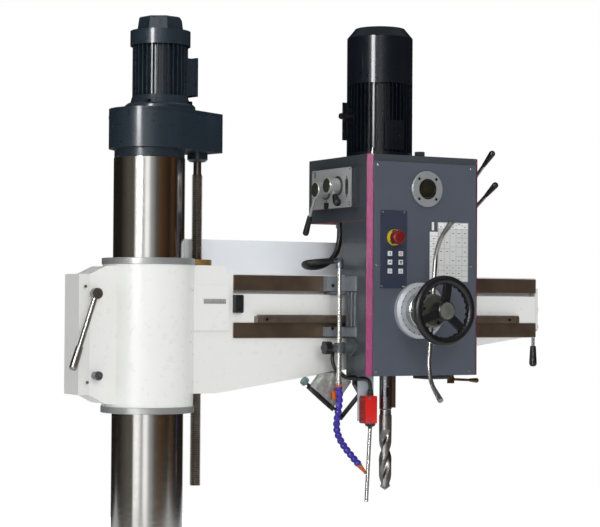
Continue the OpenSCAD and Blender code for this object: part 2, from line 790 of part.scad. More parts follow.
module arm_casting() color("#ecebe6") at_arm() difference() {
    union() {
        translate([0, 0, -sleeve_down]) cylinder(h = sleeve_up + sleeve_down, r = sleeve_r, $fn = 96);
        from_front(-arm_front, arm_rear) polygon([
            [0, -arm_root_down], [arm_root_x, -arm_root_down], [arm_tip_x, -arm_tip_down],
            [arm_end_x, -arm_tip_down], [arm_end_x, arm_top], [0, arm_top]]);
        from_front(-arm_front, arm_rear) polygon([
            [0, 0], [screw_x + nut_d / 2 + 2, 0], [screw_x + nut_d / 2 + 2, sleeve_up - 14],
            [screw_x + nut_d / 2, sleeve_up], [0, sleeve_up]]);
        box([pad_x0, -arm_front - way_proud, -pad_down], [pad_x1, -arm_front, pad_up]);
        from_front(-block_w / 2, block_w / 2) polygon([
            [-block_x, -block_down], [-block_x, block_up], [-block_slope_x, sleeve_up - 6],
            [-column_r, sleeve_up - 6], [-column_r, -sleeve_down + 6], [-block_slope_x, -sleeve_down + 10]]);
    }
    translate([0, 0, -sleeve_down - 1])
        cylinder(h = sleeve_up + sleeve_down + 2, r = column_r + fit, $fn = 96);
    box([-block_x - 1, -clamp_gap / 2, -sleeve_down - 1], [-column_r / 2, clamp_gap / 2, sleeve_up + 1]);
    translate([screw_x, screw_y, -arm_root_down - 1]) {
        cylinder(h = sleeve_up + arm_root_down + 2, d = screw_d + 3);
        translate([0, 0, sleeve_up + arm_root_down + 1 - nut_body_l])
            cylinder(h = nut_body_l + 1, d = nut_body_d + 2 * fit);
    }
    for (s = [-1, 1]) box([way_x0, -arm_front - 1, s > 0 ? way_in : -way_out],
        [arm_end_x + 1, -arm_front + way_let_in, s > 0 ? way_out : -way_in]);
    box([way_x0, -arm_front - 1, way_in - groove_h],
        [arm_end_x + 1, -arm_front + way_let_in + groove_behind, way_in]);
    box([way_x0, -arm_front + way_let_in, way_in - 1],
        [arm_end_x + 1, -arm_front + way_let_in + groove_behind, way_in + groove_up]);
    bar_y(lever_x, -block_w / 2 - 1, lever_z, block_w + 2, lever_shaft_d / 2 + fit);
}

module guide_ways() color("#6b625a") at_arm() for (s = [-1, 1])
    from_side(way_x0, arm_end_x) translate([0, s > 0 ? way_in : -way_out]) polygon([
        [-way_face, 1], [-way_face + 1, 0], [-arm_front + way_let_in, 0],
        [-arm_front + way_let_in, way_out - way_in], [-way_face + 1, way_out - way_in],
        [-way_face, way_out - way_in - 1]]);

module traverse_rack() color("#8a8378") at_arm() from_front(-arm_front - rack_w, -arm_front)
    translate([rack_x0, -rack_pitch_down]) {
        l = rack_x1 - rack_x0;
        pts = rack_points(l, gear_m, feed_x - rack_x0);
        polygon(concat([[0, -way_in + rack_pitch_down], [0, -1.25 * gear_m]], pts,
            [[l, -1.25 * gear_m], [l, -way_in + rack_pitch_down]]));
    }

module sleeve_rings() color("#9a9a98") at_arm() for (z = [sleeve_up, -sleeve_down - ring_h])
    translate([0, 0, z]) rotate_extrude($fn = 96) polygon([[column_r + fit, 0], [ring_r - 1, 0],
        [ring_r, 1], [ring_r, ring_h - 1], [ring_r - 1, ring_h], [column_r + fit, ring_h]]);

module lift_nut() color("#b08a3c") at_arm() translate([screw_x, screw_y, sleeve_up]) difference() {
    union() {
        cylinder(h = nut_flange_h, d = nut_d);
        translate([0, 0, -nut_body_l]) cylinder(h = nut_body_l + 1, d = nut_body_d);
    }
    translate([0, 0, -nut_body_l - 1]) cylinder(h = nut_body_l + nut_flange_h + 2, d = screw_d + 2 * fit);
}

module clamp_cover() color("#e2e1dc") at_arm() difference() {
    box([-block_x - clamp_cover_t, -block_w / 2, -block_down], [-block_x, block_w / 2, block_up]);
    box([-block_x - clamp_cover_t + clamp_sheet, -block_w / 2 + clamp_sheet, -block_down + clamp_sheet],
        [-block_x + 1, block_w / 2 - clamp_sheet, block_up - clamp_sheet]);
}

end_lever_y = -19;
end_lever_z = -58;
module end_cover() color("#e2e1dc") at_arm() {
    box([arm_end_x, -arm_front, -66], [arm_end_x + end_plate_t, arm_rear, 61]);
    translate([arm_end_x + end_plate_t - 4, -25, -5]) intersection() {
        sphere(dome_r);
        translate([0, -dome_r, -dome_r]) cube(2 * dome_r);
    }
}

module travel_buffer() color("#1d1d1f") at_arm() from_side(buffer_x, buffer_x + buffer_l)
    translate([-arm_front, buffer_up]) polygon([[0, -buffer_h / 2], [0, buffer_h / 2],
        [4 - buffer_t, buffer_h / 2], [-buffer_t, buffer_h / 2 - 4],
        [-buffer_t, 4 - buffer_h / 2], [4 - buffer_t, -buffer_h / 2]]);

module rear_cover() color("#dfe3e8") at_arm() difference() {
    lo = [rear_cover_x0, arm_rear, -rear_cover_down];
    hi = [rear_cover_x1, arm_rear + rear_cover_d, rear_cover_up];
    sheet = rear_cover_t * [1, 1, 1];
    box(lo, hi);
    box(lo + sheet, hi - sheet);
    box([lo.x + 12, arm_rear - 1, lo.z + 12], [hi.x - 12, arm_rear + 4, arm_top - 12]);
}

lever_x = -187;
lever_z = 33;
lever_shaft_d = 20;
lever_out = 22;
module column_clamp_lever() color("silver") at_arm() {
    y = -block_w / 2 - lever_out;
    bar_y(lever_x, y, lever_z, lever_out + block_w + 4, lever_shaft_d / 2);
    bar_y(lever_x, y - 10, lever_z, 20, lever_shaft_d / 2 + 5);
    lever([lever_x, y, lever_z], unit([-68, 0, -209]), 7.5, 152, 58, 10.5, 11.5);
}

module arm_end_lever() color("#2a2a2c") at_arm() {
    x = arm_end_x + end_plate_t;
    bar_x(x + seat, end_lever_y, end_lever_z, 22, 14);
    lever([x + 13, end_lever_y, end_lever_z], [0, 0, -1], 5, 60, 54, 9, 12);
}

// Head

module head_plan(rear) {
    polygon([[head_x0, rear], [head_x0, -head_front + trim_w], [head_x0 + trim_w, -head_front],
        [head_x1 - trim_w, -head_front], [head_x1, -head_front + trim_w], [head_x1, rear]]);
}

guide_tube_up = -50;
tube_wall = 6;
web_up = 285;
web_t = 14;
module head_housing() color("#3f4650") at_arm() difference() {
    union() {
        difference() {
            union() {
                translate([0, 0, -head_down]) linear_extrude(head_down + head_step) head_plan(-head_rear);
                translate([0, 0, head_step]) linear_extrude(hood_up - head_step) head_plan(-head_mid_rear);
                translate([0, 0, hood_up]) linear_extrude(head_up - hood_up) head_plan(hood_rear);
                for (y = [-142, -122, -102]) translate([head_x0, y, 12 - 1.5 * way_in])
                    cylinder(h = way_in + 54, r = 9);
            }
            x0 = head_x0 + trim_w + 2;
            x1 = head_x1 - trim_w - 2;
            front = -head_front + head_wall;
            low = -head_down + head_wall;
            top = head_up - head_wall;
            box([x0, front, low], [x1, -head_rear - head_wall, head_step]);
            box([x0, front, head_step - 1], [x1, -head_mid_rear - head_wall, top]);
            box([x0, front, hood_up + head_wall], [x1, hood_rear - head_wall, top]);
            box([x0, -head_front - 1, low], [x1, front + 1, panel_up - 8]);
        }
        translate([reach, -spindle_out, -head_down])
            cylinder(h = head_down + guide_tube_up, d = quill_d + 2 * tube_wall);
        box([head_x0 + trim_w, -head_front + 2, web_up], [reach + 70, -head_mid_rear, web_up + web_t]);
    }
    translate([reach, -spindle_out, -head_down - 1]) cylinder(h = head_down + head_step + 2, d = quill_d + 2 * fit);
    translate([reach, -spindle_out, web_up - 1]) cylinder(h = web_t + 2, d = gear_hub_d + 2 * fit);
    translate([motor_x, motor_y, head_up - head_wall - 1]) cylinder(h = head_wall + 2, d = 92);
    bar_y(feed_x, -head_rear - head_wall - 1, -feed_down, head_wall + 2, shaft_d / 2 + fit);
}

module front_panel() color("#464c58") at_arm() difference() {
    box([head_x0 + trim_w, -panel_face, -head_down], [head_x1 - trim_w, -head_front, panel_up]);
    bar_y(feed_x, -panel_face - 1, -feed_down, panel_t + 2, sleeve_d / 2 + fit);
    bar_y(reach + sight_dx, -panel_face - 1, sight_up, panel_t + 2, sight_glass_d / 2);
}

module corner_trims() color("#a8306e") at_arm() translate([0, 0, -head_down])
    linear_extrude(head_down + head_up) {
        out = trim_t * 0.7;
        for (s = [0, 1]) translate([s * (head_x0 + head_x1), 0]) mirror([s, 0])
            translate([head_x0, -head_front]) polygon([[0, trim_w], [-out, trim_w - out],
                [trim_w - out, -out], [trim_w, 0]]);
    }

module guide_shoes() color("#7d8084") at_arm() {
    x0 = reach - shoe_left;
    x1 = reach + shoe_right;
    box([x0, -head_rear, way_in], [x1, -way_face - shoe_gap, way_out]);
    box([x0, -head_rear, -way_out + 4], [x1, -way_face - shoe_gap, -way_in - 12]);
    keep_z = way_in - groove_h + 2;
    keep_y = -arm_front + way_let_in + 1;
    box([x0 + 20, -head_rear, keep_z], [x1 - 20, keep_y + keeper_t, way_in - 1.5]);
    box([x0 + 20, keep_y, keep_z], [x1 - 20, keep_y + keeper_t, way_in + groove_up - 2]);
    for (z = [[way_in, way_out], [-way_out + 4, -way_in - 12]])
        box([head_x0 - 5, -150, z[0]], [head_x0, -head_rear, z[1]]);
}

module at_motor() { at_arm() translate([motor_x, motor_y, 0]) children(); }

motor_bore = 104;
bearing_h = 28;
module head_motor() color("#17191c") at_motor() difference() {
    union() {
        translate([0, 0, head_up]) cylinder(h = motor_foot_h, d = motor_d);
        translate([0, 0, head_up + motor_foot_h])
            finned(motor_core_d / 2, motor_d / 2, motor_fin_top - head_up - motor_foot_h, motor_fins, 3);
        translate([-52, motor_core_d / 2 - 4, head_up + 67]) cube([104, 44, 108]);
        translate([-55, motor_core_d / 2 + 40, head_up + 64]) cube([110, 6, 114]);
    }
    stator_low = head_up + motor_foot_h + 2;
    translate([0, 0, head_up - 1]) cylinder(h = motor_top, d = motor_shaft_d + 2 * fit);
    translate([0, 0, stator_low]) cylinder(h = motor_fin_top - bearing_h - stator_low, d = motor_bore);
}

module head_motor_cowl() color("#101214") at_motor() {
    h = motor_top - motor_fin_top;
    r = motor_d / 2;
    translate([0, 0, motor_fin_top]) rotate_extrude() polygon([[r - cowl_t, 0], [r, 0],
        [r, h - motor_chamfer_h], [r - motor_chamfer, h], [0, h], [0, h - cowl_t],
        [r - motor_chamfer - 1, h - cowl_t], [r - cowl_t, h - motor_chamfer_h - 1]]);
}

module motor_rotor() color("#8f9296") at_motor() {
    translate([0, 0, gear_up]) rotate(mesh_turn) toothed(pinion_teeth, gear_w, motor_shaft_d / 2 - 1);
    translate([0, 0, gear_up - 8]) cylinder(h = motor_fin_top + 70 - gear_up, d = motor_shaft_d);
    core_low = head_up + motor_foot_h + 14;
    translate([0, 0, core_low])
        cylinder(h = motor_fin_top - bearing_h - 12 - core_low, d = motor_bore - 2);
    translate([0, 0, motor_fin_top + 30]) {
        cylinder(h = 20, d = 46);
        for (i = [0 : 7]) rotate(45 * i) translate([20, -1.5, 0]) cube([60, 3, 20]);
    }
}

// Turn that puts the pinion's teeth into the spindle gear's gaps
gear_dir = atan2(motor_y + spindle_out, motor_dx);
gear_phase = gear_dir * spindle_teeth / 360;
mesh_turn = gear_dir + 180 + (gear_phase - floor(gear_phase) + 0.5) * 360 / pinion_teeth;

module spindle_gear() color("#8f9296") at_arm() translate([reach, -spindle_out, 0]) {
    translate([0, 0, gear_up]) toothed(spindle_teeth, gear_w, spline_d / 2 + fit);
    difference() {
        translate([0, 0, gear_hub_low]) cylinder(h = gear_up - gear_hub_low, d = gear_hub_d);
        translate([0, 0, gear_hub_low - 1]) cylinder(h = gear_up, d = spline_d + 2 * fit);
    }
}

module sight_glass() color("#b9bbbb") at_arm() translate([reach + sight_dx, -panel_face, sight_up]) {
    rotate([90, 0, 0]) difference() {
        union() {
            cylinder(h = 7, d = sight_d);
            translate([0, 0, 7]) cylinder(h = 2, d1 = sight_d, d2 = sight_d - 4);
        }
        translate([0, 0, 5]) cylinder(h = 5, d = sight_glass_d);
        for (a = [45 : 90 : 315]) rotate(a) translate([(sight_d + sight_glass_d) / 4, 0, 4])
            cylinder(h = 6, d = 9);
    }
}

module control_panel() color("#2b3040") at_arm() difference() {
    union() {
        box([reach + control_x, -panel_face - control_t, control_low],
            [reach + control_x + control_w, -panel_face, control_low + control_h]);
        bar_y(stop_x, -panel_face - control_t - 9, stop_up, 10, stop_collar_d / 2);
    }
    bar_y(stop_x, -panel_face - control_t - 11, stop_up, 20, 11);
    for (x = button_cols, z = button_rows) translate([reach + x, -panel_face - control_t / 2, z])
        cube([button_s - 3, control_t + 2, button_s - 3], center = true);
    bar_y(feed_x, -panel_face - control_t - 1, -feed_down, control_t + 2, dial_d / 2 + 1);
}

stop_x = reach + control_x + control_w / 2;
stop_gap = 6;
module stop_button() color("#b3161c") at_arm()
    translate([stop_x, -panel_face - control_t - 9 - stop_gap, stop_up]) rotate([90, 0, 0]) {
        cylinder(h = 5, d1 = stop_d - 4, d2 = stop_d);
        translate([0, 0, 5]) cylinder(h = 9, d = stop_d);
        translate([0, 0, 14]) cylinder(h = 4, d1 = stop_d, d2 = stop_d - 12);
        translate([0, 0, -stop_gap - 7]) cylinder(h = stop_gap + 8, r = 10.7);
    }

module push_button(i) color("#d9dad8") at_arm() {
    x = reach + button_cols[i % 2];
    z = button_rows[floor(i / 2)];
    lift = 2.5;
    translate([x, -panel_face - control_t - lift - (button_h - lift) / 2, z])
        cube([button_s, button_h - lift, button_s], center = true);
    box([x - button_s / 2 + 1.8, -panel_face - control_t - lift, z - button_s / 2 + 1.8],
        [x + button_s / 2 - 1.8, -panel_face - lift + 0.1, z + button_s / 2 - 1.8]);
}
module push_button_1() { push_button(0); }
module push_button_2() { push_button(1); }
module push_button_3() { push_button(2); }
module push_button_4() { push_button(3); }
module push_button_5() { push_button(4); }
module push_button_6() { push_button(5); }

module selector_box() color("#aeb0ae") at_arm() difference() {
    z0 = selector_up - selector_h / 2;
    y0 = -selector_front;
    union() {
        box([head_x0 - selector_t + 8, y0, z0], [head_x0, y0 + selector_l, z0 + selector_h]);
        box([head_x0 - selector_t, y0 + 4, z0 + 4], [head_x0, y0 + selector_l - 4, z0 + selector_h - 4]);
    }
    for (k = [[speed_out, speed_up], [range_out, range_up]])
        bar_x(head_x0 - selector_t - 1, -k[0], k[1], selector_t + 2, 9 + fit);
}

speed_up = selector_up - 3;
range_up = selector_up + 6;
module selector_knob(out, up) {
    x = head_x0 - selector_t - seat - knob_l;
    translate([x, -out, up]) rotate([0, 90, 0]) {
        cylinder(h = 3, d1 = knob_d - 6, d2 = knob_d);
        translate([0, 0, 3]) cylinder(h = knob_l - 3, d = knob_d);
        cylinder(h = knob_l + selector_t, r = 9);
    }
}

module speed_selector() color("#9fa09c") at_arm() {
    selector_knob(speed_out, speed_up);
    root = [head_x0 - selector_t - knob_l + 6, -speed_out, speed_up];
    lever(root, unit([0, 66, -130]), 4.5, 86, 54, 7.5, 9.5);
}

module range_selector() color("#9fa09c") at_arm() {
    selector_knob(range_out, range_up);
    root = [head_x0 - selector_t - 24, -range_out, range_up];
    lever(root, unit([0, -44, -60]), 5, 36, 26, 8, 12);
}

// Feed and traverse

module at_feed() { at_arm() translate([feed_x, 0, -feed_down]) rotate([90, 0, 0]) children(); }

module feed_hub() color("#c3c6c8") at_feed() difference() {
    union() {
        dial_r = dial_d / 2;
        drum_r = drum_d / 2;
        hub_r = lever_hub_d / 2;
        rotate_extrude() polygon([[0, panel_face + run_gap], [dial_r, panel_face + run_gap],
            [dial_r, dial_front - 6], [dial_r - 10, dial_front], [drum_r, dial_front],
            [drum_r, drum_front - 2], [drum_r - 2, drum_front], [hub_r, drum_front],
            [hub_r, lever_hub_front - 5], [hub_r - 5, lever_hub_front], [0, lever_hub_front]]);
        translate([0, 0, spindle_out - 21]) cylinder(h = lever_hub_front - spindle_out, d = sleeve_d);
        translate([0, 0, spindle_out - 20]) rotate(rack_turn) toothed(feed_teeth, 40, shaft_d / 2);
    }
    translate([0, 0, spindle_out - 30]) cylinder(h = lever_hub_front, d = shaft_d + 2 * fit);
    for (a = [90, 270]) rotate(a - feed_turn) translate([lever_hub_d / 2 - 26, 0, feed_plane])
        rotate([0, 90, 0]) cylinder(h = 40, d = feed_rod_d + 2 * fit);
}
rack_turn = 180;

// A bent rod, with its bend a hair thinner so that the straight ends lap over it
module feed_lever() {
    translate([lever_hub_d / 2 - 25, 0, feed_plane]) rotate([0, 90, 0])
        cylinder(h = feed_straight - lever_hub_d / 2 + 26.5, d = feed_rod_d);
    translate([feed_straight, 0, feed_plane + feed_bend_r]) rotate([-90, 0, 0]) rotate(90 - feed_bend)
        rotate_extrude(angle = feed_bend) translate([feed_bend_r, 0]) circle(d = feed_rod_d - 0.6);
    end = [feed_straight + feed_bend_r * sin(feed_bend), 0, feed_plane + feed_bend_r * (1 - cos(feed_bend))];
    dir = [cos(feed_bend), 0, sin(feed_bend)];
    bar(end - 1.5 * dir, end + feed_tip_l * dir, feed_rod_d / 2, feed_tip_d / 2);
}

module feed_levers() color("#c9ccce") at_feed() for (a = [90, 270]) rotate(a - feed_turn) feed_lever();

module handwheel() color("#1b1b1c") at_feed() difference() {
    union() {
        translate([0, 0, wheel_out]) {
            rotate_extrude($fn = 96) translate([(wheel_d - rim_d) / 2, 0]) circle(d = rim_d);
            for (i = [0 : wheel_grips - 1]) rotate(360 * (i + 0.5) / wheel_grips)
                translate([(wheel_d - rim_d) / 2 - 4.5, 0, -7]) cylinder(h = 14, r = 9);
            for (a = [80, 200, 320]) rotate(a) translate([wheel_hub_d / 2 - 8, -11, -9])
                cube([wheel_d / 2 - wheel_hub_d / 2 - 6, 22, 14]);
        }
        translate([0, 0, wheel_out - wheel_hub_l / 2 - 4]) cylinder(h = wheel_hub_l - 3, d = wheel_hub_d);
        translate([0, 0, wheel_out + wheel_hub_l / 2 - 7])
            cylinder(h = 3, d1 = wheel_hub_d, d2 = wheel_hub_d - 6);
        translate([0, 0, head_rear - 8]) cylinder(h = wheel_out - head_rear, d = shaft_d);
        translate([0, 0, arm_front + 1.5]) cylinder(h = head_rear, d = shaft_d);
        translate([0, 0, arm_front + 2]) rotate(rack_turn)
            toothed(traverse_teeth, rack_w - 2, shaft_d / 2 - 1);
    }
}

// Spindle and quill

module at_spindle() { at_arm() translate([reach, -spindle_out, 0]) children(); }

quill_rack_low = -30;
// The flat that keeps the quill from turning, clear of the switch beside it
quill_flat = 28.5;
slot_turn = 78;
module quill() color("#b9bcc0") at_spindle() difference() {
    translate([0, 0, -head_down + 1]) cylinder(h = quill_top + head_down - 1, d = quill_d);
    rack_x = feed_dx - feed_pitch_r;
    translate([rack_x, quill_d / 2 + 1, 0]) rotate([90, 0, 0]) linear_extrude(quill_d + 2) polygon(concat(
        [[quill_d, quill_rack_low], [-1.25 * gear_m, quill_rack_low]],
        [for (p = rack_points(quill_top - quill_rack_low - 2, gear_m, -feed_down - quill_rack_low))
            [p.y, quill_rack_low + p.x]],
        [[-1.25 * gear_m, quill_top + 1], [quill_d, quill_top + 1]]));
    translate([0, 0, -head_down - 1]) cylinder(h = 60, d = nose_d + 1);
    translate([0, 0, -head_down]) cylinder(h = quill_top + head_down + 1, d = spline_d + 12 + 2 * fit);
    translate([-quill_d, -quill_d, -head_down]) cube([quill_d - quill_flat, 2 * quill_d, quill_top + head_down + 1]);
}

module spindle() color("#c6c8ca") at_spindle() difference() {
    union() {
        translate([0, 0, -head_down - nose_l]) cylinder(h = 5, d1 = nose_d - 8, d2 = nose_d);
        translate([0, 0, -head_down - nose_l + 5]) cylinder(h = nose_l + 50, d = nose_d);
        translate([0, 0, -head_down + 40]) cylinder(h = head_down + quill_top - 60, d = spline_d + 12);
        translate([0, 0, 0]) cylinder(h = spindle_top, d = spline_d);
    }
    translate([0, 0, -head_down - nose_l - 0.01])
        cylinder(h = taper_l, d1 = taper_d + 2 * fit, d2 = taper_small_d + 2 * fit);
    translate([0, 0, -head_down - nose_l + 55]) rotate(slot_turn) {
        cube([nose_d + 2, 8, 24], center = true);
        for (z = [-12, 12]) translate([-nose_d / 2 - 1, 0, z]) rotate([0, 90, 0])
            cylinder(h = nose_d + 2, r = 4);
    }
}

// Half outline of the drill's section: a land, then a hollow flute
flute_from = 78;
function drill_half(r, web) = [for (a = [0 : 12 : 179]) let (
    t = max(0, (a - flute_from) / (180 - flute_from)),
    hollow = pow(sin(180 * t), 0.75))
    (r - (r - web / 2) * hollow * (t > 0 ? 1 : 0)) * [cos(a), sin(a)]];

module drill_bit() color("#8e8f91") at_spindle() {
    end = -head_down - nose_l;
    translate([0, 0, end - 1]) cylinder(h = taper_l - 11, d1 = taper_d, d2 = taper_small_d + 0.6);
    translate([0, 0, end - drill_neck_l]) cylinder(h = drill_neck_l - seat, d = drill_neck_d);
    body = end - drill_neck_l;
    shank = 14;
    translate([0, 0, body - shank]) cylinder(h = shank, d1 = drill_d, d2 = drill_d - 3);
    half = drill_half(drill_d / 2, drill_web);
    point_h = drill_d / 2 / tan(59);
    fluted = drill_l - shank;
    intersection() {
        translate([0, 0, body - drill_l])
            linear_extrude(fluted + 0.5, twist = -360 * fluted / drill_lead, slices = round(fluted / 4.5))
            polygon(concat(half, -half));
        union() {
            translate([0, 0, body - drill_l + point_h]) cylinder(h = drill_l, d = drill_d + 2);
            translate([0, 0, body - drill_l]) cylinder(h = point_h, d1 = 0, d2 = drill_d);
        }
    }
}

// Levers on the head

upper_hub = [0, -118, 353];
lower_hub = [0, -104, 262];
module side_lever(hub, dir, rod_l) {
    x = head_x1 + seat;
    bar_x(x, hub.y, hub.z, 30, 14);
    lever([x + 18, hub.y, hub.z], dir, 5.5, rod_l, 54, 6, 9.5);
}
module upper_side_lever() color("#26272a") at_arm() side_lever(upper_hub, unit([0, -0.8, 0.6]), 115);
module lower_side_lever() color("#26272a") at_arm() side_lever(lower_hub, unit([0, -0.86, 0.51]), 139);

under_x = reach + 226;
module under_lever() color("#8a6a45") at_arm() {
    translate([under_x, -spindle_out, -head_down - 27]) {
        translate([0, 0, 1]) cylinder(h = 25.7, r = 9);
        cylinder(h = 20, r = 12, $fn = 6);
    }
    lever([under_x, -spindle_out, -head_down - 15], unit([100, 0, -5]), 4, 68, 24, 5, 7.5);
}

// Coolant, switch and lamp

pipe_x = reach + pipe_dx;
module coolant_pipe() color("#c9cccd") at_arm() translate([pipe_x, -pipe_out, 0]) {
    translate([0, 0, -pipe_down]) cylinder(h = pipe_down + pipe_up, d = pipe_d);
    translate([0, 0, -pipe_down]) cylinder(h = 8, d = pipe_d + 4);
    translate([0, 0, -174]) cylinder(h = 5, d = pipe_d + 4);
}

module coolant_hose() color("#3b35a8") at_arm() translate([0, -pipe_out, 0]) {
    translate([pipe_x, 0, -pipe_down - 8]) cylinder(h = 8 - seat, d1 = bead_d, d2 = pipe_d + 5);
    last = len(hose_points) - 1;
    for (i = [0 : last]) {
        p = [hose_points[i].x, 0, hose_points[i].y];
        translate(p) sphere(d = bead_d, $fn = 32);
        if (i < last) bar(p, [hose_points[i + 1].x, 0, hose_points[i + 1].y], bead_d * 0.37);
    }
    tip = [hose_points[last].x, 0, hose_points[last].y];
    dir = unit([12, 0, -13]);
    bar(tip, tip + 40 * dir, bead_d * 0.42, 4);
    bar([pipe_x, 0, -pipe_down - 1], [hose_points[0].x, 0, hose_points[0].y], bead_d * 0.4);
}

valve_z = -pipe_down - 31;
valve_x = (hose_points[0].x + hose_points[1].x) / 2 + 0.6;
module valve_lever() color("#e0752b") at_arm() {
    y = -pipe_out + bead_d / 2 + run_gap;
    bar_y(valve_x, y, valve_z, 3, 15);
    box([valve_x - 17, y, valve_z - 11], [valve_x, y + 3, valve_z + 11]);
}

module pipe_clamp() color("#5d6266") at_arm() difference() {
    z = -pipe_clamp_down;
    union() {
        bar_x(pipe_x + 12, -pipe_out, z, head_x0 - pipe_x - 12, 17);
        bar_x(head_x0 - 12, -pipe_out, z, 12, 24);
        bar_x(pipe_x - 30, -pipe_out, z, 60, 11);
        translate([pipe_x, -pipe_out, z - 14]) cylinder(h = 28, r = 14);
    }
    translate([pipe_x, -pipe_out, z - 30]) cylinder(h = 60, r = pipe_d / 2 + fit);
    bar_x(pipe_x - 32, -pipe_out, z, 22, 5 + fit);
}

module clamp_knob() color("#1d1d1f") at_arm() {
    x = pipe_x - 30 - seat;
    difference() {
        bar_x(x - 20, -pipe_out, -pipe_clamp_down, 20, 19);
        for (i = [0 : 5]) rotate_about([x - 21, -pipe_out, -pipe_clamp_down], 60 * i) bar_x(0, 0, 22, 22, 6);
    }
    bar_x(x - 5, -pipe_out, -pipe_clamp_down, 22, 5);
}

// A turn about an X axis through p
module rotate_about(p, a) { translate(p) rotate([a, 0, 0]) children(); }

module supply_hose() color("#1b1b1c") at_arm() {
    difference() {
        translate([pipe_x, -pipe_out, pipe_up - 4]) cylinder(h = 28, r = 11);
        translate([pipe_x, -pipe_out, pipe_up - 5]) cylinder(h = 6, r = pipe_d / 2 + fit);
    }
    tube(supply_points, hose_d / 2, 12);
    top = supply_points[len(supply_points) - 1];
    translate([top.x, top.y, hood_up - 16]) cylinder(h = 16, r = 13);
}

switch_x = reach + switch_dx;
trip_x = switch_x + 26;
trip_y = -switch_out + 16;
module trip_switch() color("#d6231f") at_arm() {
    z1 = -switch_down;
    z0 = z1 - switch_h;
    translate([switch_x, -switch_out, z0]) linear_extrude(switch_h)
        round_rect([0, 0], [switch_w, switch_t], 3);
    translate([trip_x, trip_y, z1 - 1]) cylinder(h = 7, r = 11, $fn = 6);
    translate([trip_x, trip_y, z1 + 5]) cylinder(h = 15, r1 = 10, r2 = 8);
    difference() {
        translate([trip_x, trip_y, z0 - 22]) cylinder(h = 23, r1 = 10.5, r2 = 14);
        translate([trip_x, trip_y, z0 - 23]) cylinder(h = 20, r = 9);
    }
}

module underside_plates() color("#cfd2d4") at_arm() {
    y = -switch_out + switch_t;
    box([reach + 30, -head_rear - 9, -head_down - guard_bar_l], [reach + 60, -head_rear - 1, -head_down]);
    box([switch_x - 4, y, -switch_down - switch_h + 6], [switch_x + switch_w + 8, y + 3, -head_down]);
    box([switch_x - 4, y, -head_down - 3], [switch_x + switch_w + 8, y + 12, -head_down]);
}

trip_ball_r = 6.5;
guard_bar_l = 98;
module trip_rod() color("#bfc2c4") at_arm() {
    pivot = [trip_x, trip_y, -switch_down - switch_h - 3 - seat - trip_ball_r];
    translate(pivot) sphere(trip_ball_r);
    bar_y(pivot.x, pivot.y - 8, pivot.z, 16, 3);
    bar(pivot, pivot + trip_l * [-sin(trip_lean), 0, -cos(trip_lean)], trip_d / 2);
}

module switch_cable() color("#161617") at_arm() tube(cable_points, cable_d / 2, 10);

lamp_x = reach - 231;
lamp_y = -92;
lamp_z = -231;
lamp_pivot = 6;
module at_lamp() { at_arm() translate([lamp_x, lamp_y, lamp_z]) rotate([0, lamp_tilt, 0]) children(); }

// A strip of sheet through points (X, Z), t thick and w wide
module strip(pts, t, w) {
    for (i = [0 : len(pts) - 2]) hull() for (p = [pts[i], pts[i + 1]])
        translate([p.x, 0, p.y]) cube([t, w, t], center = true);
}

module lamp_bracket() color("#1c1c1e") {
    at_lamp() difference() {
        strip([[lamp_l + 38, lamp_pivot - 12], [lamp_l + 45, lamp_h - 7], [lamp_l + 14, lamp_h + 3],
            [lamp_l - 1, lamp_h + 23]], 5, 20);
        bar_x(lamp_l + 30, 0, lamp_pivot, 20, 4 + fit);
        rotate([0, -lamp_tilt, 0]) translate([0, 0, -lamp_z - head_down])
            box([0, -20, -1], [2 * lamp_l, 20, lamp_h]);
    }
    at_arm() box([head_x0 + 8, lamp_y - 12, -head_down - 5], [head_x0 + 54, lamp_y + 12, -head_down]);
}

// The lamp's glass leans out to the front: its own frame, from the front edge to the rear
lamp_lip = 15;
lamp_lean = atan(lamp_lip / lamp_w);
module lamp_face() {
    translate([0, -lamp_w / 2, lamp_lip - 12]) rotate([-lamp_lean, 0, 0]) children();
}

module work_lamp() color("#8d9092") at_lamp() {
    half = lamp_w / 2;
    difference() {
        from_front(-half, half) polygon([[0, 0], [0, 0.47 * lamp_h],
            [0.48 * lamp_l, lamp_h], [lamp_l, lamp_h], [lamp_l, 0]]);
        for (i = [1 : lamp_fins - 1], s = [-1, 1])
            translate([lamp_l * i / lamp_fins, s * half, lamp_h / 2 + lamp_lip])
            cube([lamp_l / lamp_fins / 2, 3, lamp_h], center = true);
        lamp_face() box([-5, -1, -20], [lamp_l + 10, 2 * lamp_w, 0]);
    }
    lamp_face() difference() {
        box([-4, -3, 0.1], [lamp_l + 4, lamp_w / cos(lamp_lean) + 3, 10]);
        box([5, 4, -1], [lamp_l - 5, lamp_w / cos(lamp_lean) - 4, 3]);
    }
    bar_x(lamp_l - 1, 0, lamp_pivot, 43, 4);
    bar_x(-14, 0, lamp_pivot, 15, 4);
    bar_x(-26, 0, lamp_pivot, 13, 13);
}

base_plate();
column_foot();
column();
cap_housing();
cap_lid();
lift_motor();
lift_motor_cowl();
lead_screw();
arm_casting();
guide_ways();
traverse_rack();
sleeve_rings();
lift_nut();
clamp_cover();
end_cover();
travel_buffer();
rear_cover();
column_clamp_lever();
arm_end_lever();
head_housing();
front_panel();
corner_trims();
guide_shoes();
head_motor();
head_motor_cowl();
motor_rotor();
spindle_gear();
sight_glass();
control_panel();
stop_button();
push_button_1();
push_button_2();
push_button_3();
push_button_4();
push_button_5();
push_button_6();
selector_box();
speed_selector();
range_selector();
feed_hub();
feed_levers();
handwheel();
quill();
spindle();
drill_bit();
upper_side_lever();
lower_side_lever();
under_lever();
coolant_pipe();
coolant_hose();
valve_lever();
pipe_clamp();
clamp_knob();
supply_hose();
trip_switch();
underside_plates();
trip_rod();
switch_cable();
lamp_bracket();
work_lamp();
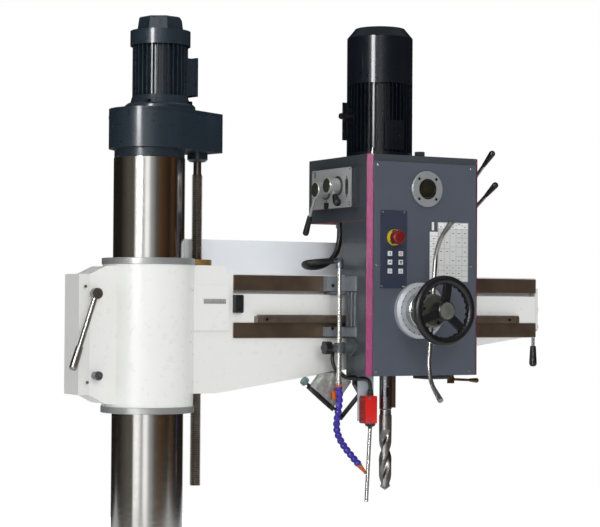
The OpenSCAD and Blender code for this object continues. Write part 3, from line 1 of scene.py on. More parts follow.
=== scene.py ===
"""Looks and fine detail of a radial arm drill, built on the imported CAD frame.

Metres throughout, +Z up. The arm points along +X and the operator stands on the -Y side.
Sizes in the sub-assemblies' fields are millimetres, with heights counted from the arm line,
halfway between the guide ways. `spot` turns them into a place in metres.
"""

from __future__ import annotations

import json
import logging
import math
from dataclasses import dataclass
from enum import Enum

import bmesh
import bpy
from mathutils import Matrix, Vector

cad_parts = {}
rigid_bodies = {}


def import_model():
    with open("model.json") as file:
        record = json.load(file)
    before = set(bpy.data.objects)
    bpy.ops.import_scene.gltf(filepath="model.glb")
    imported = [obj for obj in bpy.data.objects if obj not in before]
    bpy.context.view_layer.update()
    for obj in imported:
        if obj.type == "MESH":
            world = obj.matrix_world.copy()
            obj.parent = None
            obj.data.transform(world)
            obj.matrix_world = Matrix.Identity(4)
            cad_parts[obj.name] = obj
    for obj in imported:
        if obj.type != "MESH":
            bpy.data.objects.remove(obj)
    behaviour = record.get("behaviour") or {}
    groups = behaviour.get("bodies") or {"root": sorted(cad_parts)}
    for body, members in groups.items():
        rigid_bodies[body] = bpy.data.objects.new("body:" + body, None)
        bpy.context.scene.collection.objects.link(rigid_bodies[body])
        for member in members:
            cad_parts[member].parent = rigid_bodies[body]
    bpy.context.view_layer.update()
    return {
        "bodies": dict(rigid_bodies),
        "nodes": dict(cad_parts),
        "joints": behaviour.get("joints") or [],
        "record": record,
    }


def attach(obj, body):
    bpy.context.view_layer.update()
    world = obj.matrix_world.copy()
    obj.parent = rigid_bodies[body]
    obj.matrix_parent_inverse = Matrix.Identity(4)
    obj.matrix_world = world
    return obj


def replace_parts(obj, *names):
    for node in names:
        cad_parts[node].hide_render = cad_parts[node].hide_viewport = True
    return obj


LOG = logging.getLogger("radial_drill")
# Height of the arm line above the floor, in millimetres
ARM_LINE = 1445.0
# The head's front face along Y, in millimetres
HEAD_FACE = -218.3
# Corners of a screw head that is a hexagon
HEXAGON = 6
# The largest share of light that a finish reflects
BRIGHTEST = 0.95

Socket = bpy.types.NodeSocket
Colour = tuple[float, float, float, float]
Point = tuple[float, float, float]
Spots = tuple[Point, ...]
Pair = tuple[float, float]
Profile = list[Pair]
Dress = tuple[tuple[str, str], ...]

FRONT = Vector((0, -1, 0))
BACK = Vector((0, 1, 0))
LEFT = Vector((-1, 0, 0))
RIGHT = Vector((1, 0, 0))
UP = Vector((0, 0, 1))
DOWN = Vector((0, 0, -1))


def spot(x: float, y: float, z: float) -> Vector:
    """A place in metres from millimetres, with z counted from the arm line."""
    return Vector((x / 1000, y / 1000, (z + ARM_LINE) / 1000))


def limited(value: float) -> float:
    """A value held between 0 and 1."""
    return min(1.0, max(0.0, value))


def turns(count: int, start: float = 0.0) -> list[float]:
    """Angles in radians, spread evenly round a circle from a start in degrees."""
    return [math.radians(start) + 2 * math.pi * i / count for i in range(count)]


def circle(middle: Vector, up: Vector, radius: float, count: int, start: float = 0.0) -> list[Vector]:
    """Places spread evenly round a circle.

    Args:
        middle: The circle's middle.
        up: The direction a quarter turn on from +X: UP on an upright circle, BACK on a level one.
        radius: Its radius, in millimetres.
        count: How many places there are.
        start: Angle of the first place from +X, in degrees.

    Returns:
        The places.
    """
    ways = [RIGHT * math.cos(a) + up * math.sin(a) for a in turns(count, start)]
    return [middle + way * radius / 1000 for way in ways]


def ring_pieces(middle: Pair, outer: float, inner: float, count: int, flat: float = 1.0) -> list[Profile]:
    """Four-sided pieces that make up a flat ring.

    Args:
        middle: The ring's middle.
        outer: Its outer radius.
        inner: Its inner radius.
        count: How many pieces it has.
        flat: Its height as a share of its width.

    Returns:
        The outline of each piece.
    """
    x, z = middle
    shapes = []
    for k in range(count):
        a, b = 2 * math.pi * k / count, 2 * math.pi * (k + 1) / count
        corners = ((outer, a), (outer, b), (inner, b), (inner, a))
        shapes.append([(x + r * math.cos(t), z + flat * r * math.sin(t)) for r, t in corners])
    return shapes


def screen_colour(code: str) -> Colour:
    """The linear colour of a screen colour.

    Args:
        code: The colour in hexadecimal, such as "a0b1c2".

    Returns:
        Red, green, blue and an alpha of 1.
    """
    parts = [int(code[i : i + 2], 16) / 255 for i in (0, 2, 4)]
    linear = [c / 12.92 if c <= 0.04045 else ((c + 0.055) / 1.055) ** 2.4 for c in parts]
    return (linear[0], linear[1], linear[2], 1.0)


def shade(colour: Colour, factor: float) -> Colour:
    """A colour made lighter or darker, kept within what a surface can reflect."""
    red, green, blue = (min(BRIGHTEST, c * factor) for c in colour[:3])
    return (red, green, blue, 1.0)


class Grain(Enum):
    """How a surface's fine marks lie."""

    EVEN = (1.0, 1.0, 1.0)
    ALONG_X = (0.02, 1.0, 1.0)
    ALONG_Y = (1.0, 0.02, 1.0)
    ALONG_Z = (1.0, 1.0, 0.02)
    ROUND_Z = (0.02, 0.02, 1.0)
    ROUND_Y = (0.02, 1.0, 0.02)


class Tree:
    """A short hand for laying out the nodes of a material or of the world."""

    def __init__(self, owner: bpy.types.Material | bpy.types.World) -> None:
        """Starts with no nodes.

        Args:
            owner: The material or world that the nodes belong to.
        """
        owner.use_nodes = True
        self.tree = owner.node_tree
        self.tree.nodes.clear()

    def add(self, kind: str, **settings: object) -> bpy.types.Node:
        """Adds a node and sets its plain properties.

        Args:
            kind: Blender's class name of the node.
            **settings: Properties of the node by name.

        Returns:
            The new node.
        """
        node = self.tree.nodes.new(kind)
        for key, value in settings.items():
            setattr(node, key, value)
        return node

    def feed(self, end: Socket, value: Socket | Colour | Point | float) -> None:
        """Gives an input a value.

        Args:
            end: The input.
            value: Another node's output, a colour, a direction or a number.
        """
        if isinstance(value, Socket):
            self.tree.links.new(value, end)
        else:
            end.default_value = value

    def math(self, how: str, *values: Socket | float) -> Socket:
        """One step of arithmetic.

        Args:
            how: Blender's name of the operation.
            *values: Its values in order, numbers or sockets.

        Returns:
            The result's socket.
        """
        node = self.add("ShaderNodeMath", operation=how)
        for slot, value in zip(node.inputs, values):
            self.feed(slot, value)
        return node.outputs[0]

    def ramp(self, value: Socket, stops: list[tuple[float, Colour]]) -> Socket:
        """Turns a value into colours.

        Args:
            value: The socket that drives the colours.
            stops: Pairs of a value and a linear colour.

        Returns:
            The colour socket.
        """
        ramp = self.add("ShaderNodeValToRGB")
        bands = ramp.color_ramp.elements
        while len(bands) < len(stops):
            bands.new(0.5)
        for band, (at, colour) in zip(bands, stops):
            band.position = at
            band.color = colour
        self.feed(ramp.inputs[0], value)
        return ramp.outputs[0]


class Nodes(Tree):
    """The nodes of one material, round its shader."""

    def __init__(self, name: str) -> None:
        """Starts a material with its shader and output.

        Args:
            name: The material's name.
        """
        self.material = bpy.data.materials.new(name)
        super().__init__(self.material)
        self.shader = self.add("ShaderNodeBsdfPrincipled")
        self.feed(self.add("ShaderNodeOutputMaterial").inputs[0], self.shader.outputs[0])
        self.place = self.add("ShaderNodeTexCoord").outputs["Object"]

    def put(self, slot: str, value: Socket | Colour | float) -> None:
        """Gives the shader's input of that name a value."""
        self.feed(self.shader.inputs[slot], value)

    def noise(self, size: float, grain: Grain = Grain.EVEN, detail: float = 3.0) -> Socket:
        """A noise pattern that stays with the object.

        Args:
            size: Size of one spot, in metres.
            grain: The direction the spots are drawn out in.
            detail: Levels of finer noise on top.

        Returns:
            The socket with a value from 0 to 1.
        """
        scale = self.add("ShaderNodeVectorMath", operation="MULTIPLY")
        self.feed(scale.inputs[0], self.place)
        self.feed(scale.inputs[1], [k / size for k in grain.value])
        noise = self.add("ShaderNodeTexNoise")
        self.feed(noise.inputs["Scale"], 1.0)
        self.feed(noise.inputs["Detail"], detail)
        self.feed(noise.inputs["Vector"], scale.outputs[0])
        return noise.outputs["Fac"]

    def mottled(
        self, cloud: Socket, code: str, dark: float, light: float = 1.0, span: Pair = (0.3, 0.7)
    ) -> Socket:
        """A colour that wanders between a darker and a lighter tone.

        Args:
            cloud: The noise it wanders with.
            code: The screen colour.
            dark: Factor of the darker tone.
            light: Factor of the lighter tone.
            span: The noise's values at the two tones.

        Returns:
            The colour socket.
        """
        base = screen_colour(code)
        return self.ramp(cloud, [(span[0], shade(base, dark)), (span[1], shade(base, light))])

    def rough(self, marks: Socket, middle: float, spread: float) -> Socket:
        """A roughness that wanders with a noise, by a spread about a middle value."""
        return self.math("MULTIPLY_ADD", marks, spread, middle - spread / 2)

    def between(self, direction: Vector, low: float, high: float) -> Socket:
        """1 where the place along a direction lies between two distances, else 0.

        Args:
            direction: The direction.
            low: The shorter distance from the object's origin, in metres.
            high: The longer one.

        Returns:
            The socket.
        """
        dot = self.add("ShaderNodeVectorMath", operation="DOT_PRODUCT")
        self.feed(dot.inputs[0], self.place)
        self.feed(dot.inputs[1], direction.normalized())
        along = dot.outputs["Value"]
        above = self.math("GREATER_THAN", along, low)
        return self.math("MULTIPLY", above, self.math("LESS_THAN", along, high))

    def lay_over(self, mask: Socket, slot: str, value: Socket | Colour | float) -> None:
        """Gives one shader slot another value where a mask is 1.

        Args:
            mask: The mask.
            slot: The shader slot's name.
            value: A number, or a colour or socket.
        """
        end = self.shader.inputs[slot]
        number = end.type == "VALUE"
        mix = self.add("ShaderNodeMix", data_type="FLOAT" if number else "RGBA")
        first, second, out = (2, 3, 0) if number else (6, 7, 2)
        self.feed(mix.inputs[0], mask)
        self.feed(mix.inputs[first], end.links[0].from_socket if end.links else end.default_value)
        self.feed(mix.inputs[second], value)
        self.feed(end, mix.outputs[out])

    def bump(self, height: Socket, depth: float, strength: float = 1.0) -> None:
        """Raises the surface by a height pattern, on top of any bump already there.

        Args:
            height: The socket with a value from 0 to 1.
            depth: Height of the pattern, in metres.
            strength: Share of the effect.
        """
        node = self.add("ShaderNodeBump")
        self.feed(node.inputs["Strength"], strength)
        self.feed(node.inputs["Distance"], depth)
        self.feed(node.inputs["Height"], height)
        normal = self.shader.inputs["Normal"]
        if normal.links:
            self.feed(node.inputs["Normal"], normal.links[0].from_socket)
        self.feed(normal, node.outputs[0])

    def round_edges(self, radius: float) -> None:
        """Lets light catch sharp edges as if they were rounded.

        Args:
            radius: The rounding in metres.
        """
        node = self.add("ShaderNodeBevel", samples=4)
        self.feed(node.inputs["Radius"], radius)
        self.put("Normal", node.outputs[0])


@dataclass(frozen=True)
class Finish:
    """What every finish has: a name, a colour and the way it is laid on."""

    name: str
    colour: str

    def lay(self, n: Nodes) -> None:
        """Lays the finish out in a material's nodes."""

    def make(self) -> bpy.types.Material:
        """Builds the material.

        Returns:
            The material.
        """
        n = Nodes(self.name)
        self.lay(n)
        return n.material


@dataclass(frozen=True)
class Paint(Finish):
    """A sprayed or dipped coat: slight orange peel, mottle and faint handling marks."""

    roughness: float = 0.34
    coat: float = 0.3
    peel: float = 0.0001
    mottle: float = 0.06
    cast: float = 0.0
    edge: float = 0.0012
    coat_ior: float = 1.5
    under: float = 0.5
    cloud_size: float = 0.16
    mark_size: float = 0.02
    peel_size: float = 0.004
    cast_size: float = 0.035
    rough_spread: float = 0.2
    coat_roughness: float = 0.1

    def lay(self, n: Nodes) -> None:
        """Lays the coat out in a material's nodes.

        Args:
            n: The nodes.
        """
        cloud = n.noise(self.cloud_size, detail=5.0)
        marks = n.noise(self.mark_size, detail=6.0)
        n.put("Base Color", n.mottled(cloud, self.colour, 1 - self.mottle, 1 + self.mottle))
        n.put("Roughness", n.rough(marks, self.roughness, self.rough_spread))
        n.put("Specular IOR Level", self.under)
        n.put("Coat Weight", self.coat)
        n.put("Coat Roughness", self.coat_roughness)
        n.put("Coat IOR", self.coat_ior)
        n.round_edges(self.edge)
        n.bump(n.noise(self.peel_size), self.peel, strength=0.7)
        if self.cast > 0:
            n.bump(n.noise(self.cast_size, detail=4.0), self.cast, strength=0.8)


@dataclass(frozen=True)
class PaintedSheen(Paint):
    """A coat with a painted sheen: pale, mottled patches of painted reflection laid into its colour."""

    # The painted sheen's pale colour and the most of it that is laid on
    pale: str = "94647e"
    sheen_amount: float = 0.34
    fleck_size: float = 0.006
    patch_size: float = 0.09
    clear: float = 0.22
    growth: float = 4.0

    def lay(self, n: Nodes) -> None:
        """Lays the coat and its painted sheen out in a material's nodes.

        Args:
            n: The nodes.
        """
        super().lay(n)
        # Painted reflection: pale flecks in patches, laid over the base colour
        sheen_flecks = n.noise(self.fleck_size, detail=5.0)
        cloud = n.math("MULTIPLY", sheen_flecks, n.noise(self.patch_size, detail=2.0))
        strength = n.math("MULTIPLY", n.math("SUBTRACT", cloud, self.clear), self.growth * self.sheen_amount)
        mask = n.math("MINIMUM", n.math("MAXIMUM", strength, 0.0), self.sheen_amount)
        n.lay_over(mask, "Base Color", screen_colour(self.pale))


@dataclass(frozen=True)
class Steel(Finish):
    """Machined or polished metal with fine marks along one direction and faint stains."""

    roughness: float = 0.25
    grain: Grain = Grain.EVEN
    marks: float = 0.00002
    mark_size: float = 0.0012
    stain: float = 0.1
    stain_size: float = 0.05
    edge: float = 0.0006
    metal: float = 1.0
    rough_spread: float = 0.16

    def lay(self, n: Nodes) -> None:
        """Lays the metal out in a material's nodes.

        Args:
            n: The nodes.
        """
        cloud = n.noise(self.stain_size, detail=6.0)
        fine = n.noise(self.mark_size, self.grain, 2.0)
        n.put("Base Color", n.mottled(cloud, self.colour, 1 - self.stain, span=(0.35, 0.68)))
        n.put("Metallic", self.metal)
        n.put("Roughness", n.rough(fine, self.roughness, self.rough_spread))
        n.round_edges(self.edge)
        n.bump(fine, self.marks, strength=0.6)


@dataclass(frozen=True)
class Moulded(Finish):
    """Plastic or rubber with a fine grain."""

    roughness: float = 0.45
    grain: float = 0.00006
    mottle: float = 0.08
    cloud_size: float = 0.03
    mark_size: float = 0.008
    grain_size: float = 0.0015
    rough_spread: float = 0.2
    edge: float = 0.0008

    def lay(self, n: Nodes) -> None:
        """Lays the plastic out in a material's nodes.

        Args:
            n: The nodes.
        """
        cloud = n.noise(self.cloud_size, detail=4.0)
        marks = n.noise(self.mark_size, detail=4.0)
        n.put("Base Color", n.mottled(cloud, self.colour, 1 - self.mottle, 1 + self.mottle))
        n.put("Roughness", n.rough(marks, self.roughness, self.rough_spread))
        n.round_edges(self.edge)
        n.bump(n.noise(self.grain_size, detail=2.0), self.grain, strength=0.6)


@dataclass(frozen=True)
class Glass(Finish):
    """Oil-filled or frosted glass over a dark ground."""

    roughness: float = 0.06
    depth: float = 0.45
    cloud_size: float = 0.03
    coat_roughness: float = 0.03

    def lay(self, n: Nodes) -> None:
        """Lays the glass out in a material's nodes.

        Args:
            n: The nodes.
        """
        cloud = n.noise(self.cloud_size, detail=2.0)
        n.put("Base Color", n.mottled(cloud, self.colour, self.depth, span=(0.35, 0.7)))
        n.put("Roughness", self.roughness)
        n.put("Coat Weight", 1.0)
        n.put("Coat Roughness", self.coat_roughness)


@dataclass(frozen=True)
class MachinedTop(Finish):
    """Painted casting whose upward faces at one height are machined bare."""

    bare: str
    height: float
    tolerance: float = 0.001
    level: float = 0.9
    metal: float = 0.9
    roughness: float = 0.44
    rough_spread: float = 0.2
    cloud_size: float = 0.2
    mark_size: float = 0.003
    edge: float = 0.002
    cast: float = 0.0004
    cast_size: float = 0.03

    def lay(self, n: Nodes) -> None:
        """Lays paint and bare metal out in a material's nodes.

        Args:
            n: The nodes.
        """
        up = n.add("ShaderNodeSeparateXYZ")
        n.feed(up.inputs[0], n.add("ShaderNodeNewGeometry").outputs["True Normal"])
        height = n.between(UP, self.height - self.tolerance, self.height + self.tolerance)
        bare = n.math("MULTIPLY", n.math("GREATER_THAN", up.outputs[2], self.level), height)
        cloud = n.noise(self.cloud_size, detail=5.0)
        n.put("Base Color", n.mottled(cloud, self.colour, dark=0.9, light=1.1))
        n.lay_over(bare, "Base Color", n.mottled(cloud, self.bare, dark=0.8))
        n.put("Metallic", n.math("MULTIPLY", bare, self.metal))
        marks = n.noise(self.mark_size, Grain.ALONG_Y)
        n.put("Roughness", n.rough(marks, self.roughness, self.rough_spread))
        n.round_edges(self.edge)
        n.bump(n.noise(self.cast_size, detail=4.0), self.cast, strength=0.6)


@dataclass(frozen=True)
class Zone:
    """A stretch of a piece that has another finish, between two planes."""

    direction: Vector
    low: float
    high: float
    colour: str
    metal: float = 0.0
    roughness: float = 0.45
    rough_spread: float = 0.16
    cloud_size: float = 0.025
    mark_size: float = 0.006
    depth: float = 0.86

    def lay(self, n: Nodes) -> None:
        """Lays the stretch over the finish that a material's nodes already hold.

        Args:
            n: The nodes.
        """
        mask = n.between(self.direction, self.low, self.high)
        cloud, marks = n.noise(self.cloud_size, detail=5.0), n.noise(self.mark_size)
        n.lay_over(mask, "Base Color", n.mottled(cloud, self.colour, self.depth))
        n.lay_over(mask, "Metallic", self.metal)
        n.lay_over(mask, "Roughness", n.rough(marks, self.roughness, self.rough_spread))


@dataclass(frozen=True)
class Zoned:
    """One finish with other finishes over some stretches, such as a rod and its grip."""

    name: str
    base: Finish
    zones: tuple[Zone, ...]

    def make(self) -> bpy.types.Material:
        """Builds the material.

        Returns:
            The material.
        """
        n = Nodes(self.name)
        self.base.lay(n)
        for zone in self.zones:
            zone.lay(n)
        return n.material


def grip(hub: Vector, direction: Point, start: float, colour: str = "161618") -> Zone:
    """The zone of a lever's grip, which runs on past the lever's end.

    Args:
        hub: Where the lever turns.
        direction: The way it points.
        start: Distance from the hub to the grip, in millimetres.
        colour: The grip's colour.

    Returns:
        The zone.
    """
    past_end = 0.2
    way = Vector(direction).normalized()
    low = hub.dot(way) + start / 1000
    return Zone(way, low, low + past_end, colour, roughness=0.42)


def lever(name: str, handle: Zone, grain: Grain = Grain.EVEN) -> Zoned:
    """The finish of a bright rod with a grip.

    Args:
        name: The finish's name.
        handle: The zone of its grip.
        grain: How the rod's marks lie.

    Returns:
        The finish.
    """
    return Zoned(name, Steel("rod", "b4b4b1", roughness=0.24, grain=grain), (handle,))


def knob(name: str, handle: Zone) -> Zoned:
    """The finish of a selector's worn metal knob, with a dark face and a grip.

    Args:
        name: The finish's name.
        handle: The zone of its grip.

    Returns:
        The finish.
    """
    metal = Steel("knob", "b0b1ae", roughness=0.34, marks=0.00003, mark_size=0.001, stain=0.15, metal=0.5)
    face = Zone(RIGHT, 0.4, 0.5277, "3a3a30", metal=0.3, roughness=0.5)
    return Zoned(name, metal, (face, handle))


class Finishes:
    """Every finish of the machine, made once and handed out by name. Zones lie in metres."""

    ALL = (
        Paint("arm_white", "e9e9e5", roughness=0.3, coat=0.4, peel=0.00004, mottle=0.012, cast=0.00004),
        Paint("cover_white", "dededa", roughness=0.34, coat=0.25, mottle=0.015),
        # Whiter than the arm's paint as painted light, against the shade the rear cover sits in
        Paint("sheet_white", "eff3f9", roughness=0.36, coat=0.2, mottle=0.02),
        Paint(
            "lift_blue", "222c35", roughness=0.3,
            coat=0.7, mottle=0.1, cast=0.0006, coat_ior=1.36, under=0.3,
        ),
        Paint("panel_blue", "4e545f", roughness=0.42, coat=0.12, mottle=0.05),
        Paint("trim_dark", "33383e", roughness=0.4, coat=0.2, mottle=0.08),
        Paint(
            "motor_black", "0f141b", roughness=0.3,
            coat=1.0, peel=0.0002, mottle=0.1, cast=0.0007, coat_ior=1.33, under=0.12,
        ),
        Paint("control_navy", "303649", roughness=0.4, coat=0.15, mottle=0.05),
        Paint("clamp_grey", "474b4e", roughness=0.4, coat=0.2, mottle=0.1, cast=0.0003),
        Paint("shoe_grey", "797f84", roughness=0.36, coat=0.2, mottle=0.22, cast=0.0003),
        Paint("lamp_black", "121214", roughness=0.4, coat=0.2),
        Paint("chart_grey", "c9c9c7", roughness=0.4, coat=0.15, mottle=0.02),
        Paint("chart_head", "e6e6e4", roughness=0.4, coat=0.15, mottle=0.02),
        MachinedTop("base_casting", "33393f", "9a9da0", 0.14),
        Steel(
            "column_steel", "d5d4d0", roughness=0.12, grain=Grain.ROUND_Z,
            marks=0.000008, mark_size=0.0009, stain=0.08, stain_size=0.09,
        ),
        # Ground steel tinted brown: real stains and a painted reflection of the brown room
        Steel(
            "ground_way", "8f7d6c", roughness=0.34, grain=Grain.ALONG_X,
            marks=0.00002, mark_size=0.001, stain=0.35, stain_size=0.12, metal=0.85,
        ),
        Steel(
            "rack_steel", "8c8073", roughness=0.36, grain=Grain.ALONG_X,
            marks=0.00002, mark_size=0.001, stain=0.3, metal=0.8,
        ),
        Steel(
            "bright_steel", "cfd0cf", roughness=0.13, grain=Grain.ROUND_Z,
            marks=0.00001, mark_size=0.0008, stain=0.12,
        ),
        Steel(
            "spindle_steel", "8f8e92", roughness=0.2, grain=Grain.ROUND_Z,
            marks=0.000004, mark_size=0.0008, stain=0.2,
        ),
        # Brown bars, with the plate that holds the switch pale
        Zoned(
            "bar_steel",
            Steel(
                "bar", "6b5240", roughness=0.4, grain=Grain.ALONG_Z,
                marks=0.00002, mark_size=0.001, stain=0.3, metal=0.6,
            ),
            (Zone(RIGHT, 0.5, 0.7, "c3cfd5", roughness=0.4),),
        ),
        Steel("gear_steel", "8f9296", roughness=0.35),
        Steel("ring_steel", "a6a8a7", roughness=0.34, grain=Grain.ROUND_Z, metal=0.5),
        Steel("thread_steel", "a8a097", roughness=0.3, grain=Grain.ROUND_Z, stain=0.25),
        Steel("bronze", "b08c50", roughness=0.34, grain=Grain.ROUND_Z, stain=0.3, metal=0.6),
        Steel("brass", "7d6546", roughness=0.32, stain=0.35, stain_size=0.02),
        Steel("chrome", "d4d4d1", roughness=0.26, marks=0.0000002, mark_size=0.001, stain=0.05),
        Steel(
            "drill_steel", "8a8886", roughness=0.36,
            marks=0.000003, mark_size=0.0012, stain=0.2, stain_size=0.03,
        ),
        Steel(
            "selector_metal", "a9aba9", roughness=0.42, grain=Grain.ALONG_Y,
            marks=0.00003, mark_size=0.001, stain=0.08, metal=0.2,
        ),
        Steel(
            "feed_steel", "aeada9", roughness=0.28,
            marks=0.000001, mark_size=0.001, stain=0.25, stain_size=0.03,
        ),
        Steel(
            "lever_steel", "a5a39e", roughness=0.34, grain=Grain.ALONG_Z,
            marks=0.000001, mark_size=0.001, stain=0.25, stain_size=0.03,
        ),
        Steel(
            "lamp_metal", "c9cac6", roughness=0.3,
            marks=0.00001, mark_size=0.002, stain=0.4, stain_size=0.012, metal=0.6,
        ),
        Steel("bolt_grey", "8d9298", roughness=0.4, stain=0.25, stain_size=0.01),
        Steel("dark_screw", "35373a", roughness=0.4),
        Steel("silver_screw", "d8d8d4", roughness=0.25, stain=0.2, stain_size=0.005),
        Moulded("black_plastic", "131315", roughness=0.36),
        Moulded("black_rubber", "161617", roughness=0.5, grain=0.0001),
        Moulded("knob_green", "5f7674", roughness=0.4, mottle=0.15),
        Moulded("cap_green", "565751", roughness=0.42, mottle=0.3),
        Moulded("key_white", "d3d6d6", roughness=0.45),
        Moulded("stop_red", "6e0c0d", roughness=0.34, grain=0.00002),
        Moulded("collar_yellow", "dfbf18", roughness=0.4),
        Moulded("valve_orange", "df6a24", roughness=0.42),
        Moulded("print_black", "2a2c30", roughness=0.6, grain=0.00001),
        Moulded("print_grey", "7d838a", roughness=0.6, grain=0.00001),
        Moulded("print_teal", "2f8f9c", roughness=0.6, grain=0.00001),
        Moulded("print_red", "a03a3e", roughness=0.6, grain=0.00001),
        Glass("oil_glass", "2b2a22"),
        Glass("lamp_glass", "a3ada0", roughness=0.2),
        # A thin brown line crosses the housing
        Zoned(
            "head_iron",
            Paint("iron", "3f454b", roughness=0.36, coat=0.3, mottle=0.12, cast=0.0004),
            (Zone(UP, 1.6942, 1.6953, "9a4a30", roughness=0.6),),
        ),
        # Painted sheen; deeper on the far corner's strip as painted shade; a thin dark line across both
        Zoned(
            "magenta",
            PaintedSheen("trim", "7c1850", roughness=0.34, coat=0.1, mottle=0.12, cast=0.00015, under=0.3),
            (
                Zone(RIGHT, 0.9, 1.0, "7e1440", roughness=0.4),
                Zone(UP, 1.8636, 1.8644, "5a1238", roughness=0.5),
            ),
        ),
        # Black below the case, dark above it, and a deeper red on the side as painted shade
        Zoned(
            "switch_shell",
            Paint("shell", "d8150f", roughness=0.34, coat=0.15, mottle=0.05, cast=0.0001, edge=0.002),
            (
                Zone(UP, 0.9, 1.1088, "121214"),
                Zone(UP, 1.1895, 1.3, "26282b"),
                # Painted shade on the case's left side
                Zone(RIGHT, 0.58, 0.6165, "a81d16", roughness=0.4),
            ),
        ),
        # The nozzle below the links and the collar above them
        Zoned(
            "hose_links",
            Moulded("links", "31248f", roughness=0.34, grain=0.00003),
            (
                Zone(UP, 0.9, 0.9885, "c96a28", roughness=0.4),
                Zone(UP, 1.2155, 1.3, "b5603a", roughness=0.4),
            ),
        ),
        # A bright ring before the dial, then the darker hub
        Zoned(
            "dial_metal",
            Steel(
                "dial", "bdc1c4", roughness=0.42, grain=Grain.ROUND_Y,
                marks=0.00002, mark_size=0.001, stain=0.08, metal=0.35,
            ),
            (
                Zone(BACK, -0.2640, -0.2396, "b6b8ba", metal=1.0, roughness=0.2),
                Zone(BACK, -0.4, -0.2640, "6e6d66", metal=0.6, roughness=0.42),
            ),
        ),
        # The dark seat behind the ring
        Zoned(
            "sight_ring",
            Steel("ring", "9a9e9f", roughness=0.4, marks=0.00002, mark_size=0.001, stain=0.1, metal=0.3),
            (Zone(BACK, -0.2195, -0.21, "5c5f60", metal=1.0, roughness=0.4),),
        ),
        lever("end_lever_finish", grip(spot(1306, -19, -58), (0, 0, -1), 59), Grain.ALONG_Z),
        lever("upper_lever_finish", grip(spot(985, -118, 353), (0, -0.8, 0.6), 114)),
        lever("lower_lever_finish", grip(spot(985, -104, 262), (0, -0.86, 0.51), 138)),
        knob("speed_finish", grip(spot(533, -8, 344), (0, 66, -130), 85)),
        knob("range_finish", grip(spot(543, -77, 353), (0, -44, -60), 34)),
    )

    def __init__(self) -> None:
        """Makes every material."""
        self.made = {finish.name: finish.make() for finish in self.ALL}

    def put(self, obj: bpy.types.Object, name: str) -> None:
        """Gives a whole object one finish.

        Args:
            obj: The object to dress.
            name: The finish's name.
        """
        if not obj.data.materials:
            obj.data.materials.append(self.made[name])
        for i in range(len(obj.data.materials)):
            obj.data.materials[i] = self.made[name]


